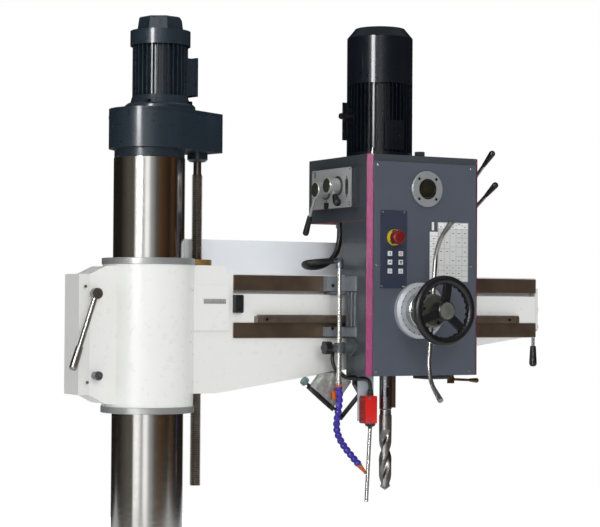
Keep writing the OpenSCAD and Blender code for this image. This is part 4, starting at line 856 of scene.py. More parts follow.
class Form:
    """A mesh being made out of simple worked shapes, in metres."""

    def __init__(self) -> None:
        """Starts with nothing."""
        self.bm = bmesh.new()

    def loft(self, rows: list[list[Vector]]) -> Form:
        """Adds a closed skin over rows of corners.

        Args:
            rows: The rows in order, all with the same number of corners. An end may be a point.

        Returns:
            The form itself.
        """
        rings = [[self.bm.verts.new(corner) for corner in row] for row in rows]
        sides = max(len(ring) for ring in rings)
        for low, high in zip(rings, rings[1:]):
            for i in range(sides):
                j = (i + 1) % sides
                corners = [low[i % len(low)], low[j % len(low)], high[j % len(high)], high[i % len(high)]]
                corners = list(dict.fromkeys(corners))
                if len(corners) > 2:
                    self.bm.faces.new(corners)
        for ring in (rings[0], rings[-1]):
            if len(ring) > 2:
                self.bm.faces.new(ring)
        return self

    def block(self, lo: Vector, hi: Vector, edge: float = 0.0005) -> Form:
        """Adds a box with rounded edges.

        Args:
            lo: Its lowest corner.
            hi: Its highest corner.
            edge: Width of the rounding.

        Returns:
            The form itself.
        """
        middle, size = (lo + hi) / 2, hi - lo
        made = bmesh.ops.create_cube(self.bm, size=1.0)["verts"]
        for v in made:
            v.co = Vector((v.co.x * size.x, v.co.y * size.y, v.co.z * size.z))
        edges = list({e for v in made for e in v.link_edges})
        if edge > 0:
            widest = 0.45 * min(size)
            width = min(edge, widest)
            out = bmesh.ops.bevel(self.bm, geom=edges, offset=width, segments=2, affect="EDGES", profile=0.6)
            rounded = {v for f in out["faces"] for v in f.verts}
            made = list(rounded | {v for v in made if v.is_valid})
        for v in made:
            v.co = v.co + middle
        return self

    def turned(self, start: Vector, axis: Vector, profile: Profile, steps: int = 32) -> Form:
        """Adds a shape turned about an axis.

        Args:
            start: Where the axis starts.
            axis: Its direction.
            profile: Pairs of radius and distance along the axis, in millimetres.
            steps: Corners round the axis.

        Returns:
            The form itself.
        """
        frame = axis.normalized().to_track_quat("Z", "Y").to_matrix()
        rows = []
        for radius, along in profile:
            angles = turns(steps if radius > 0 else 1)
            corners = [Vector((radius * math.cos(a), radius * math.sin(a), along)) / 1000 for a in angles]
            rows.append([start + frame @ corner for corner in corners])
        return self.loft(rows)

    def tube(self, path: list[Vector], radius: float, sides: int = 12) -> Form:
        """Adds a round bar along a path.

        Args:
            path: Points along the middle.
            radius: Radius in metres.
            sides: Corners round the bar.

        Returns:
            The form itself.
        """
        rows = []
        side = None
        for i, p in enumerate(path):
            along = (path[min(i + 1, len(path) - 1)] - path[max(i - 1, 0)]).normalized()
            side = along.orthogonal() if side is None else side
            side = (side - along * side.dot(along)).normalized()
            other = along.cross(side)
            rows.append([p + radius * (math.cos(a) * side + math.sin(a) * other) for a in turns(sides)])
        return self.loft(rows)

    def sheet(self, corners: list[Vector], thick: Vector, edge: float = 0.0) -> Form:
        """Adds a flat plate with a given outline.

        Args:
            corners: The outline of one face.
            thick: From that face to the other.
            edge: Width of the rounding of its edges.

        Returns:
            The form itself.
        """
        low = [self.bm.verts.new(c) for c in corners]
        high = [self.bm.verts.new(c + thick) for c in corners]
        faces = [self.bm.faces.new(low), self.bm.faces.new(high)]
        for i in range(len(corners)):
            j = (i + 1) % len(corners)
            faces.append(self.bm.faces.new([low[i], low[j], high[j], high[i]]))
        if edge > 0:
            rim = list({e for f in faces[:2] for e in f.edges})
            bmesh.ops.bevel(self.bm, geom=rim, offset=edge, segments=2, affect="EDGES", profile=0.6)
        return self

    def screws(
        self, places: list[Vector], out: Vector, head: float = 8.0, high: float = 3.0, sides: int = 20
    ) -> Form:
        """Adds like screw heads: socket caps, or hexagons with six sides.

        Args:
            places: The middles of their seats.
            out: The direction they face.
            head: Head diameter, in millimetres.
            high: Head height, in millimetres.
            sides: Corners round a head.

        Returns:
            The form itself.
        """
        r = head / 2
        rim = [(r, 0), (r, high * 0.8), (r * 0.88, high)]
        socket = [(r * 0.5, high), (r * 0.45, high * 0.4), (0, high * 0.4)]
        for place in places:
            self.turned(place, out, rim + ([(0, high)] if sides == HEXAGON else socket), sides)
        return self

    def object(self, name: str) -> bpy.types.Object:
        """Closes the form into a Blender object.

        Args:
            name: The object's name.

        Returns:
            The new object, linked to the scene.
        """
        sharp = math.radians(35)
        bmesh.ops.recalc_face_normals(self.bm, faces=self.bm.faces)
        mesh = bpy.data.meshes.new(name)
        self.bm.to_mesh(mesh)
        self.bm.free()
        for polygon in mesh.polygons:
            polygon.use_smooth = True
        mesh.set_sharp_from_angle(angle=sharp)
        obj = bpy.data.objects.new(name, mesh)
        bpy.context.scene.collection.objects.link(obj)
        return obj


@dataclass
class SubAssembly:
    """A part of the machine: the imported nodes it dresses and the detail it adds."""

    frame: dict
    finishes: Finishes
    nodes: Dress = ()

    def dress(self) -> None:
        """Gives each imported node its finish."""
        for node, finish in self.nodes:
            self.finishes.put(self.frame["nodes"][node], finish)
            LOG.info("dressed %s in %s", node, finish)

    def add(self, form: Form, name: str, finish: str, body: str, slot: str) -> bpy.types.Object:
        """Finishes a piece and lets it ride on a body.

        Args:
            form: The piece's mesh.
            name: The piece's name.
            finish: The finish's name.
            body: The body it moves with.
            slot: A slot of the record; not used.

        Returns:
            The new object.
        """
        obj = form.object(name)
        self.finishes.put(obj, finish)
        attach(obj, body)
        LOG.info("added %s on %s", name, body)
        return obj

    def build(self) -> None:
        """Dresses the nodes and adds the details."""
        self.dress()
        self.detail()

    def detail(self) -> None:
        """Adds what the solids leave out."""


@dataclass
class Stand(SubAssembly):
    """Base plate, foot and column."""

    nodes: Dress = (
        ("base_plate", "base_casting"),
        ("column_foot", "base_casting"),
        ("column", "column_steel"),
    )


@dataclass
class Lift(SubAssembly):
    """Cap, lift motor and lead screw."""

    nodes: Dress = (
        ("cap_housing", "lift_blue"),
        ("cap_lid", "lift_blue"),
        ("lift_motor", "lift_blue"),
        ("lift_motor_cowl", "lift_blue"),
        ("lead_screw", "thread_steel"),
    )
    flange_at: Point = (34.8, 9.2, 565.6)
    flange_bolt_r: float = 90.0
    cap_r: float = 114.0
    cap_screw_z: float = 528.0
    cap_screw_turns: tuple[float, ...] = (-118, -20, 60, 150, 215)
    screw: Pair = (170.16, 44.96)
    pitch: float = 6.0
    crest_r: float = 16.0
    root_r: float = 12.6
    flank: float = 2.2
    root_share: float = 0.6
    low: float = -512.0
    high: float = 377.0
    journal_z: float = 376.5
    rows_per_turn: int = 4
    thread_sides: int = 20

    def detail(self) -> None:
        """Bolts of the motor's flange, the lid's screws and the lead screw's thread."""
        places = circle(spot(*self.flange_at), BACK, self.flange_bolt_r, 4, start=45)
        bolts = Form().screws(places, UP, head=15, high=9, sides=HEXAGON)
        self.add(bolts, "lift_flange_bolts", "dark_screw", "cap", "lift_blue")
        screws = Form()
        for a in (math.radians(turn) for turn in self.cap_screw_turns):
            out = Vector((math.cos(a), math.sin(a), 0))
            place = spot(self.cap_r * out.x, self.cap_r * out.y, self.cap_screw_z)
            screws.screws([place], out, head=7, high=2)
        self.add(screws, "cap_screws", "dark_screw", "cap", "lift_blue")
        self.thread()

    def thread_row(self, z: float) -> list[Vector]:
        """The thread's outline at one height, off the middle by crest, flank or root.

        Args:
            z: The height.

        Returns:
            Its corners.
        """
        x, y = self.screw
        row = []
        for i, a in enumerate(turns(self.thread_sides)):
            share = (z / self.pitch - i / self.thread_sides) % 1
            depth = limited(self.flank * abs(2 * share - 1) - self.root_share)
            r = self.root_r + (self.crest_r - self.root_r) * depth
            row.append(spot(x + r * math.cos(a), y + r * math.sin(a), z))
        return row

    def thread(self) -> None:
        """The lead screw with its thread cut, in place of the plain bar."""
        step = self.pitch / self.rows_per_turn
        count = int((self.high - self.low) / step) + 1
        form = Form().loft([self.thread_row(self.low + k * step) for k in range(count)])
        journal = [(13, 0), (11.5, 5), (11.5, 70), (0, 70)]
        form.turned(spot(*self.screw, self.journal_z), UP, journal, steps=24)
        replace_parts(self.add(form, "cut_thread", "thread_steel", "screw", "screw"), "lead_screw")


@dataclass
class Arm(SubAssembly):
    """Arm casting, ways, rack, covers and the levers on them."""

    nodes: Dress = (
        ("arm_casting", "arm_white"),
        ("guide_ways", "ground_way"),
        ("traverse_rack", "rack_steel"),
        ("sleeve_rings", "ring_steel"),
        ("lift_nut", "bronze"),
        ("clamp_cover", "cover_white"),
        ("end_cover", "cover_white"),
        ("travel_buffer", "black_rubber"),
        ("rear_cover", "sheet_white"),
        ("column_clamp_lever", "lever_steel"),
        ("arm_end_lever", "end_lever_finish"),
    )
    strip: tuple[Point, Point] = ((140, -66.6, 7), (210, -65.8, 21))
    mark_at: Pair = (144.0, 9.0)
    mark_y: Pair = (-66.75, -66.5)
    mark_wide: float = 0.8
    mark_pitch: float = 4.8
    mark_count: int = 14
    marks_per_long: int = 5
    mark_high: Pair = (5.0, 9.0)
    clamp_cover_screws: Spots = ((-212, -56.2, 52.4), (-205, -56.2, -209.7))
    end_cover_x: float = 1293.2
    end_cover_y: Pair = (-50.0, 82.0)
    end_cover_z: Pair = (-54.0, 50.0)
    way_screws: Spots = tuple((x, -88.4, -36) for x in (330, 640, 960, 1168))
    buffer_screws: Spots = ((246, -81.2, 25), (246, -81.2, -10))
    clamp_bolt_at: Point = (-181.0, -51.9, -191.0)

    def detail(self) -> None:
        """The index strip, the covers' screws and the clamp's lower bolt."""
        low, high = self.strip
        strip = Form().block(spot(*low), spot(*high), edge=0.0002)
        self.add(strip, "index_strip", "selector_metal", "arm", "ways")
        self.index_marks()
        silver = Form().screws([spot(*at) for at in self.clamp_cover_screws], FRONT, head=9, high=3)
        self.add(silver, "clamp_cover_screws", "silver_screw", "arm", "bright")
        ends = [spot(self.end_cover_x, y, z) for z in self.end_cover_z for y in self.end_cover_y]
        screws = Form().screws(ends, RIGHT, head=10, high=4)
        screws.screws([spot(*at) for at in self.way_screws], FRONT, head=9, high=1.5)
        screws.screws([spot(*at) for at in self.buffer_screws], FRONT, head=8, high=1.5)
        self.add(screws, "arm_screws", "dark_screw", "arm", "ways")
        shank = [(10.5, 0), (10.5, 21)]
        head = [(12.5, 21.2), (12.5, 29), (11.3, 30.4), (4.5, 30.4), (4, 26), (0, 26)]
        bolt = Form().turned(spot(*self.clamp_bolt_at), FRONT, shank + head, steps=28)
        self.add(bolt, "clamp_bolt", "bolt_grey", "arm", "bright")

    def index_marks(self) -> None:
        """Short marks along the index strip, with every fifth one long."""
        x0, z0 = self.mark_at
        near, far = self.mark_y
        marks = Form()
        for i in range(self.mark_count):
            x = x0 + self.mark_pitch * i
            high = self.mark_high[i % self.marks_per_long == 0]
            marks.block(spot(x, near, z0), spot(x + self.mark_wide, far, z0 + high), edge=0)
        self.add(marks, "index_marks", "print_black", "arm", "black_rubber")


@dataclass
class Head(SubAssembly):
    """Drilling head, its motor, panels and controls."""

    nodes: Dress = (
        ("head_housing", "head_iron"),
        ("front_panel", "panel_blue"),
        ("corner_trims", "magenta"),
        ("guide_shoes", "shoe_grey"),
        ("head_motor", "motor_black"),
        ("head_motor_cowl", "motor_black"),
        ("motor_rotor", "gear_steel"),
        ("spindle_gear", "gear_steel"),
        ("sight_glass", "sight_ring"),
        ("control_panel", "control_navy"),
        ("stop_button", "stop_red"),
        *((f"push_button_{i}", "key_white") for i in range(1, 7)),
        ("selector_box", "trim_dark"),
        ("speed_selector", "speed_finish"),
        ("range_selector", "range_finish"),
        ("upper_side_lever", "upper_lever_finish"),
        ("lower_side_lever", "lower_lever_finish"),
        ("under_lever", "brass"),
    )
    top: float = 439.8
    sight_at: Point = (781.0, -222.6, 344.0)
    sight_screw_r: float = 41.0
    panel_screws: tuple[Pair, ...] = (
        (616, 409.5), (936, 409), (616, 121), (936, 121), (613, -184), (933, -185),
    )
    filler_at: Pair = (826.0, -110.0)
    oiler_at: Pair = (611.0, -198.0)
    shoe_screws: Spots = ((540, -96.4, 62), (540, -96.4, -62))
    flange: tuple[Point, Point] = ((800, -196, -209), (880, -120, -196.6))
    flange_screw: Point = (812.0, -196.0, -203.0)
    motor_at: Point = (727.0, -42.4, 462.0)
    pad_r: Pair = (96.0, 97.3)
    pad_turns: tuple[int, int, int] = (-112, -70, 3)
    pad_high: float = 87.0
    gland_out: float = 88.0
    gland_up: float = 100.0

    def detail(self) -> None:
        """The oil glass, the head's screws and fittings, and the motor's pad and gland."""
        self.sight()
        self.fittings()
        self.motor_details()

    def sight(self) -> None:
        """The oil glass, its inner ring and its screws."""
        middle = spot(*self.sight_at)
        glass = Form().turned(middle, FRONT, [(26.6, 0), (26.6, 0.7), (22, 1.8), (0, 2.4)], steps=48)
        self.add(glass, "oil_window", "oil_glass", "head", "sight_ring")
        section = [(29.8, 0), (29.8, 3.4), (28.6, 4.2), (27.0, 3.4), (26.7, 0)]
        rim = Form().turned(middle, FRONT, section, steps=48)
        self.add(rim, "oil_window_rim", "dark_screw", "head", "sight_ring")
        sunk = BACK * 0.0002
        places = circle(middle + sunk, UP, self.sight_screw_r, 4, start=45)
        screws = Form().screws(places, FRONT, head=8.4, high=4.6)
        self.add(screws, "sight_screws", "dark_screw", "head", "sight_ring")

    def fittings(self) -> None:
        """Panel screws, the filler plug, the oiler, the shoes' screws and the underside plate."""
        sunk = 0.2
        places = [spot(x, HEAD_FACE + sunk, z) for x, z in self.panel_screws]
        screws = Form().screws(places, FRONT, head=8, high=2)
        self.add(screws, "panel_screws", "silver_screw", "head", "sight_ring")
        hexagon = [(11, 0), (11, 9), (17, 10), (17, 20), (15.5, 22), (0, 22)]
        plug = Form().turned(spot(*self.filler_at, self.top), UP, hexagon, steps=HEXAGON)
        self.add(plug, "filler_plug", "trim_dark", "head", "head_iron")
        nipple = [(7, 0), (7, 7), (5.5, 8), (5.5, 13), (3.4, 15), (3.4, 19), (0, 21)]
        oiler = Form().turned(spot(*self.oiler_at, self.top), UP, nipple, steps=20)
        self.add(oiler, "head_oiler", "silver_screw", "head", "sight_ring")
        sockets = Form().screws([spot(*at) for at in self.shoe_screws], FRONT, head=9, high=2)
        self.add(sockets, "shoe_screws", "dark_screw", "head", "motor_black")
        low, high = self.flange
        plate = Form().block(spot(*low), spot(*high), edge=0.0015)
        plate.screws([spot(*self.flange_screw)], FRONT, head=6, high=1.5)
        self.add(plate, "underside_flange", "trim_dark", "head", "head_iron")

    def motor_details(self) -> None:
        """The motor's smooth front pad and the cable gland on its side."""
        x, y, z = self.motor_at
        arc = [math.radians(a) for a in range(*self.pad_turns)]
        inner, outer = ([spot(x + r * math.cos(a), y + r * math.sin(a), z) for a in arc] for r in self.pad_r)
        pad = Form()
        for i in range(len(arc) - 1):
            pad.sheet([inner[i], inner[i + 1], outer[i + 1], outer[i]], UP * self.pad_high / 1000)
        self.add(pad, "motor_pad", "motor_black", "head", "motor_black")
        seat = spot(x - self.gland_out, y, z + self.gland_up)
        section = [(6, 0), (6, 30), (5, 34), (8, 38), (9.5, 43), (8, 48), (4, 50), (0, 50)]
        gland = Form().turned(seat, LEFT, section, steps=24)
        self.add(gland, "motor_side_gland", "black_plastic", "head", "black_plastic")


@dataclass
class Controls(SubAssembly):
    """The control panel's collar, screws and key signs, and the two charts beside it."""

    panel_thick: float = 3.0
    key_high: float = 5.0
    stop_at: Pair = (670.25, 201.0)
    collar_in: float = 3.05
    collar_print: float = 12.6
    arrow_r: float = 20.6
    arrow_pitch: float = 8.0
    arrow_half: float = 1.4
    arrow_shaft: float = 1.2
    arrow_head: float = 2.2
    arrow_narrows: float = 0.9
    screws_at: tuple[Pair, ...] = ((705.5, 275.0), (632.0, 273.5), (630.5, 61.0), (704.5, 60.5))
    key_rows: tuple[float, ...] = (154.8, 130.0, 104.4)
    key_cols: tuple[float, ...] = (654.5, 690.9)
    key_print: float = 0.35
    ring_r: Pair = (4.4, 2.9)
    chart_x: Pair = (821.0, 927.0)
    chart_z: Pair = (76.0, 249.0)
    header_z: float = 230.0
    chart_thick: float = 0.9
    strip_x: Pair = (793.5, 820.4)
    strip_top: float = 221.0
    tab_x: Pair = (800.5, 808.0)
    tab_low: float = 225.0
    chart_cols: tuple[float, ...] = (843.0, 863.0, 884.0, 905.0)
    whole_rules: tuple[float, ...] = (124.0, 108.0, 92.0)
    part_rules: tuple[tuple[int, int, int], ...] = (
        (240, 1, 5), (205, 3, 5), (178, 2, 5), (172, 0, 2), (150, 3, 5),
    )
    inset: float = 1.0
    line: float = 0.8
    ink: float = 0.1
    dash_rows: tuple[int, ...] = (244, 235, 217, 190, 163, 137, 116, 100, 84)
    dash_in: float = 7.0
    dash: Pair = (7.0, 1.8)
    strip_rule_x: Pair = (1.0, 26.5)
    strip_rule_z: float = 88.0
    strip_dash_x: Pair = (9.5, 17.5)
    strip_dash_z: float = 80.0
    strip_pitch: float = 15.0
    strip_rows: int = 9

    def detail(self) -> None:
        """The collar, the panel's screws, the signs on the keys and the charts."""
        self.collar()
        places = [spot(x, HEAD_FACE - self.panel_thick, z) for x, z in self.screws_at]
        screws = Form().screws(places, FRONT, head=7, high=1.6)
        self.add(screws, "control_screws", "silver_screw", "head", "sight_ring")
        self.key_signs()
        self.charts()

    def collar(self) -> None:
        """The yellow collar of the stop button, with three arrows printed round it."""
        x, z = self.stop_at
        rim = [(23.3, -2.5), (23.3, 8.2), (22.3, 9.02), (18.5, 9.02), (18.5, 8.9)]
        collar = Form().turned(spot(x, HEAD_FACE - self.collar_in, z), FRONT, rim, steps=48)
        self.add(collar, "stop_collar", "collar_yellow", "head", "control_navy")
        arrows = Form()
        for start in turns(3, 90):
            for k in range(5):
                a = start + math.radians(self.arrow_pitch * k)
                out = Vector((math.cos(a), 0, math.sin(a)))
                side = Vector((-out.z, 0, out.x)) * self.arrow_half
                wide = self.arrow_shaft if k < 3 else self.arrow_head - self.arrow_narrows * (k - 3)
                middle = spot(x, HEAD_FACE - self.collar_print, z) + out * self.arrow_r / 1000
                ends = ((-1, -1), (1, -1), (1, 1), (-1, 1))
                corners = [middle + (side * s + out * wide * t) / 1000 for s, t in ends]
                arrows.sheet(corners, FRONT * 0.0002)
        self.add(arrows, "collar_arrows", "print_black", "head", "black_plastic")

    def sign(self, form: Form, col: int, row: int, shape: Profile) -> None:
        """Lays one flat sign on a key.

        Args:
            form: The mesh it is added to.
            col: The key's column.
            row: The key's row.
            shape: The sign's outline, in millimetres from the key's middle.
        """
        x, z = self.key_cols[col], self.key_rows[row]
        y = HEAD_FACE - self.panel_thick - self.key_high - self.key_print
        form.sheet([spot(x + dx, y, z + dz) for dx, dz in shape], BACK * 0.0004)

    def key_signs(self) -> None:
        """Plain signs on the keys: a bar, a ring, an arrow head, a stepped block and ruled lines."""
        teal, red, dark, grey = Form(), Form(), Form(), Form()
        self.sign(teal, 0, 0, [(-1.6, -4.5), (1.6, -4.5), (1.6, 4.5), (-1.6, 4.5)])
        outer, inner = self.ring_r
        for shape in ring_pieces((0, 0), outer, inner, count=12):
            self.sign(red, 1, 0, shape)
        self.sign(dark, 0, 1, [(-4.6, -1.6), (4.6, -1.6), (1.8, 1.2), (0, 4.0), (-1.8, 1.2)])
        half = [(-4.4, 3.4), (-4.4, 0.6), (-1.7, 0.6), (-1.7, -4.2)]
        self.sign(dark, 1, 1, half + [(-dx, dz) for dx, dz in reversed(half)])
        for col in (0, 1):
            for z in (-2.6, 0.2, 3.0):
                self.sign(grey, col, 2, [(-4.0, z - 0.6), (4.0, z - 0.6), (4.0, z + 0.6), (-4.0, z + 0.6)])
        for form, name, finish in (
            (teal, "key_sign_start", "print_teal"),
            (red, "key_sign_stop", "print_red"),
            (dark, "key_signs_dark", "print_black"),
            (grey, "key_signs_grey", "print_grey"),
        ):
            self.add(form, name, finish, "head", "black_plastic")

    def charts(self) -> None:
        """The large chart with its header, the narrow one with a tab over it, and their print."""
        (x0, x1), (z0, z1), face = self.chart_x, self.chart_z, HEAD_FACE
        front = face - self.chart_thick
        body = Form().block(spot(x0, front, z0), spot(x1, face, self.header_z), edge=0.0001)
        self.add(body, "speed_chart", "chart_grey", "head", "key_white")
        top = Form().block(spot(x0, front, self.header_z), spot(x1, face, z1), edge=0.0001)
        top.block(spot(self.strip_x[0], front, z0), spot(self.strip_x[1], face, self.strip_top), edge=0.0001)
        top.block(spot(self.tab_x[0], front, self.tab_low), spot(self.tab_x[1], face, z1), edge=0.0001)
        self.add(top, "chart_header", "chart_head", "head", "key_white")
        lines, dashes = Form(), Form()
        self.chart_print(lines, dashes)
        self.strip_print(lines, dashes)
        self.add(lines, "chart_lines", "print_grey", "head", "black_plastic")
        self.add(dashes, "chart_dashes", "print_black", "head", "black_plastic")

    def mark(self, form: Form, x: Pair, z: Pair) -> None:
        """Prints one plain bar on a chart.

        Args:
            form: The mesh it is added to.
            x: Its two sides.
            z: Its bottom and top.
        """
        front = HEAD_FACE - self.chart_thick
        form.block(spot(x[0], front - self.ink, z[0]), spot(x[1], front + self.ink, z[1]), edge=0)

    def chart_print(self, lines: Form, dashes: Form) -> None:
        """Ruled lines on the large chart, and a dash in most of its cells.

        Args:
            lines: The mesh of the lines.
            dashes: The mesh of the dashes.
        """
        (x0, x1), (z0, z1) = self.chart_x, self.chart_z
        cols = (x0 + self.inset, *self.chart_cols, x1 - 2 * self.line)
        whole = (z1 - 2 * self.line, self.header_z, *self.whole_rules, z0 + self.inset)
        for z, first, last in [(z, 0, len(cols) - 1) for z in whole] + list(self.part_rules):
            self.mark(lines, (cols[first], cols[last]), (z, z + self.line))
        for x in cols:
            self.mark(lines, (x, x + self.line), (z0 + self.inset, z1 - self.inset))
        long, high = self.dash
        for i, col in enumerate(cols[:-1]):
            x = col + self.dash_in
            for z in self.dash_rows:
                empty = (i * 7 + z) % 4 == 0
                if not empty:
                    self.mark(dashes, (x, x + long), (z, z + high))

    def strip_print(self, lines: Form, dashes: Form) -> None:
        """A line and a dash for each row of the narrow chart.

        Args:
            lines: The mesh of the lines.
            dashes: The mesh of the dashes.
        """
        left, high = self.strip_x[0], self.dash[1]
        (rule_0, rule_1), (dash_0, dash_1) = self.strip_rule_x, self.strip_dash_x
        for step in (self.strip_pitch * i for i in range(self.strip_rows)):
            rule, dash = self.strip_rule_z + step, self.strip_dash_z + step
            self.mark(lines, (left + rule_0, left + rule_1), (rule, rule + self.line))
            self.mark(dashes, (left + dash_0, left + dash_1), (dash, dash + high))


@dataclass
class SelectorPlate(SubAssembly):
    """The selector box's light plate with its plain signs, flanges and screws."""

    x: float = 567.0
    plate_y: Pair = (-154.0, 80.0)
    plate_z: Pair = (289.0, 405.0)
    corner: float = 4.0
    thick: float = 0.9
    print_out: float = 1.0
    arrow: Pair = (4.0, 6.0)
    arrow_gap: float = 2.0
    bracket: tuple[Pair, ...] = ((1.0, 0.6), (0.6, 1.0), (0.06, 1.0))
    bars: int = 4
    bar_low: float = -0.75
    bar_pitch: float = 0.45
    ring_r: Pair = (6.0, 4.0)
    ring_flat: float = 0.8
    dials: tuple[tuple[float, ...], ...] = ((-128, 349, 8, 24), (-9, 297, 14, 10))
    rings_at: tuple[Pair, ...] = ((60.0, 388.0), (60.0, 397.0))
    frame_at: tuple[tuple[float, ...], ...] = (
        (-149, 296, -136, 297.2), (-149, 304, -136, 305.2),
        (-149, 296, -147.6, 305), (-137.4, 296, -136, 305),
    )
    flanges_at: tuple[Pair, ...] = ((-8, 344), (-77, 353))
    screw_y: Pair = (-146.0, 72.0)
    screw_z: Pair = (295.0, 399.0)

    def detail(self) -> None:
        """The plate, what is printed on it, the knobs' flanges and four screws."""
        (y0, y1), (z0, z1), c = self.plate_y, self.plate_z, self.corner
        outline = [(y1 - c, z0), (y0 + c, z0), (y0, z0 + c), (y0, z1 - c),
                   (y0 + c, z1), (y1 - c, z1), (y1, z1 - c), (y1, z0 + c)]
        plate = Form().sheet([spot(self.x, y, z) for y, z in outline], LEFT * self.thick / 1000, edge=0.0002)
        self.add(plate, "selector_plate", "selector_metal", "head", "selector_alu")
        self.signs()
        flanges = Form()
        for y, z in self.flanges_at:
            disc = [(29, 0), (29, 2.5), (27, 4), (0, 4)]
            flanges.turned(spot(self.x - self.thick, y, z), LEFT, disc, steps=40)
        self.add(flanges, "selector_flanges", "trim_dark", "head", "head_iron")
        places = [spot(self.x - 0.8, y, z) for y in self.screw_y for z in self.screw_z]
        screws = Form().screws(places, LEFT, head=5, high=0.9)
        self.add(screws, "selector_screws", "silver_screw", "head", "sight_ring")

    def signs(self) -> None:
        """The signs: two double arrows with bars between brackets, two rings and a small frame."""
        shapes: list[Profile] = []
        half, tall = self.arrow
        for y, z, wide, high in self.dials:
            for s in (1, -1):
                foot = z + s * (high + self.arrow_gap)
                shapes.append([(y + half, foot), (y - half, foot), (y, foot + s * tall)])
            for s in (-1, 1):
                edge = [(a * wide, b * high) for a, b in self.bracket]
                whole = [(a, -b) for a, b in edge] + list(reversed(edge))
                shapes.append([(y + s * a, z + b) for a, b in whole])
            for k in range(self.bars):
                low = z + high * (self.bar_low + self.bar_pitch * k)
                bar = ((-wide, 0), (wide, 2), (wide, 5), (-wide, 3))
                shapes.append([(y + dy, low + dz) for dy, dz in bar])
        for at in self.rings_at:
            shapes += ring_pieces(at, *self.ring_r, count=10, flat=self.ring_flat)
        for y0, z0, y1, z1 in self.frame_at:
            shapes.append([(y0, z0), (y1, z0), (y1, z1), (y0, z1)])
        marks = Form()
        for shape in shapes:
            marks.sheet([spot(self.x - self.print_out, y, z) for y, z in shape], LEFT * 0.0003)
        self.add(marks, "selector_signs", "print_black", "head", "black_plastic")


@dataclass
class Feed(SubAssembly):
    """Feed hub, levers, handwheel, quill, spindle and drill."""

    nodes: Dress = (
        ("feed_hub", "dial_metal"),
        ("feed_levers", "feed_steel"),
        ("handwheel", "black_plastic"),
        ("quill", "bright_steel"),
        ("spindle", "spindle_steel"),
        ("drill_bit", "drill_steel"),
    )
    x: float = 755.0
    z: float = -8.75
    dial_y: float = -239.2
    dial_r: float = 69.0
    dial_marks: int = 24
    hub_y: float = -307.2
    hub_screw_r: float = 36.0
    cap_y: float = -373.9
    drill_at: Pair = (694.0, -140.0)
    drill_r: float = 18.5
    drill_top: float = -312.0
    drill_run: float = -356.0
    drill_tip: float = -531.0
    drill_lead: float = 194.0
    drill_phase: float = -67.0
    drill_chamfer: float = 1.5
    point_half_angle: float = 59.0
    flute_depth: float = 0.6
    flute_start: float = 0.46
    run_in: float = 26.0
    clearance: float = 0.025
    margin_wide: float = 0.05
    margin_fall: float = 0.02

    def relief(self, turn: float) -> float:
        """How far the drill is cut in from its full radius, at an angle from a margin's edge.

        Args:
            turn: The angle, in degrees.

        Returns:
            The cut as a share of the radius: a flute or the low clearance behind a margin.
        """
        half = (turn % 180) / 180
        if half > self.flute_start:
            across = (half - self.flute_start) / (1 - self.flute_start)
            return max(self.flute_depth * math.sin(math.pi * across) ** 0.8, 0.0)
        return self.clearance * limited((half - self.margin_wide) / self.margin_fall)

    def twist_drill(self) -> None:
        """The drill with its flutes, lands and point, in place of the plain one."""
        x, y = self.drill_at
        step, point_rows, sides = 2.0, 6, 60
        point = self.drill_r / math.tan(math.radians(self.point_half_angle))
        fluted = int((self.drill_run - self.drill_tip - point) / step)
        heights = [self.drill_top, self.drill_top - self.drill_chamfer]
        heights += [self.drill_run + step - step * k for k in range(fluted)]
        heights += [self.drill_tip + point * (1 - k / point_rows) for k in range(point_rows)]
        rows = []
        for z in heights:
            r = self.drill_r - (self.drill_chamfer if z == self.drill_top else 0.0)
            r *= min(1.0, (z - self.drill_tip) / point)
            cut = limited((self.drill_run - z) / self.run_in)
            row = []
            for a in turns(sides):
                turn = math.degrees(a) - 360 * z / self.drill_lead + self.drill_phase
                reach = r * (1 - cut * self.relief(turn))
                row.append(spot(x + reach * math.cos(a), y + reach * math.sin(a), z))
            rows.append(row)
        form = Form().loft(rows + [[spot(x, y, self.drill_tip)]])
        shank = [(16.5, 0), (16.5, 15.5), (11, 16), (10, 40), (0, 40)]
        form.turned(spot(x, y, self.drill_top - 1), UP, shank, steps=32)
        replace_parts(self.add(form, "twist_drill", "drill_steel", "spindle", "drill"), "drill_bit")

    def detail(self) -> None:
        """Dial marks, the hub's screws, the cap on the wheel's hub and the drill."""
        self.twist_drill()
        marks = Form()
        for place in circle(spot(self.x, self.dial_y, self.z), UP, self.dial_r, self.dial_marks, start=7.5):
            marks.turned(place, FRONT, [(2.0, 0), (2.0, 0.25), (0, 0.25)], steps=12)
        self.add(marks, "dial_marks", "print_black", "feed", "dial")
        places = circle(spot(self.x, self.hub_y, self.z), UP, self.hub_screw_r, 3, start=50)
        self.add(Form().screws(places, FRONT, head=9, high=0.8), "hub_screws", "dark_screw", "feed", "dial")
        disc = [(24, 0), (24, 0.2), (23.6, 0.4), (0, 0.4)]
        cap = Form().turned(spot(self.x, self.cap_y, self.z), FRONT, disc, steps=48)
        self.add(cap, "wheel_cap", "cap_green", "wheel", "black_plastic")


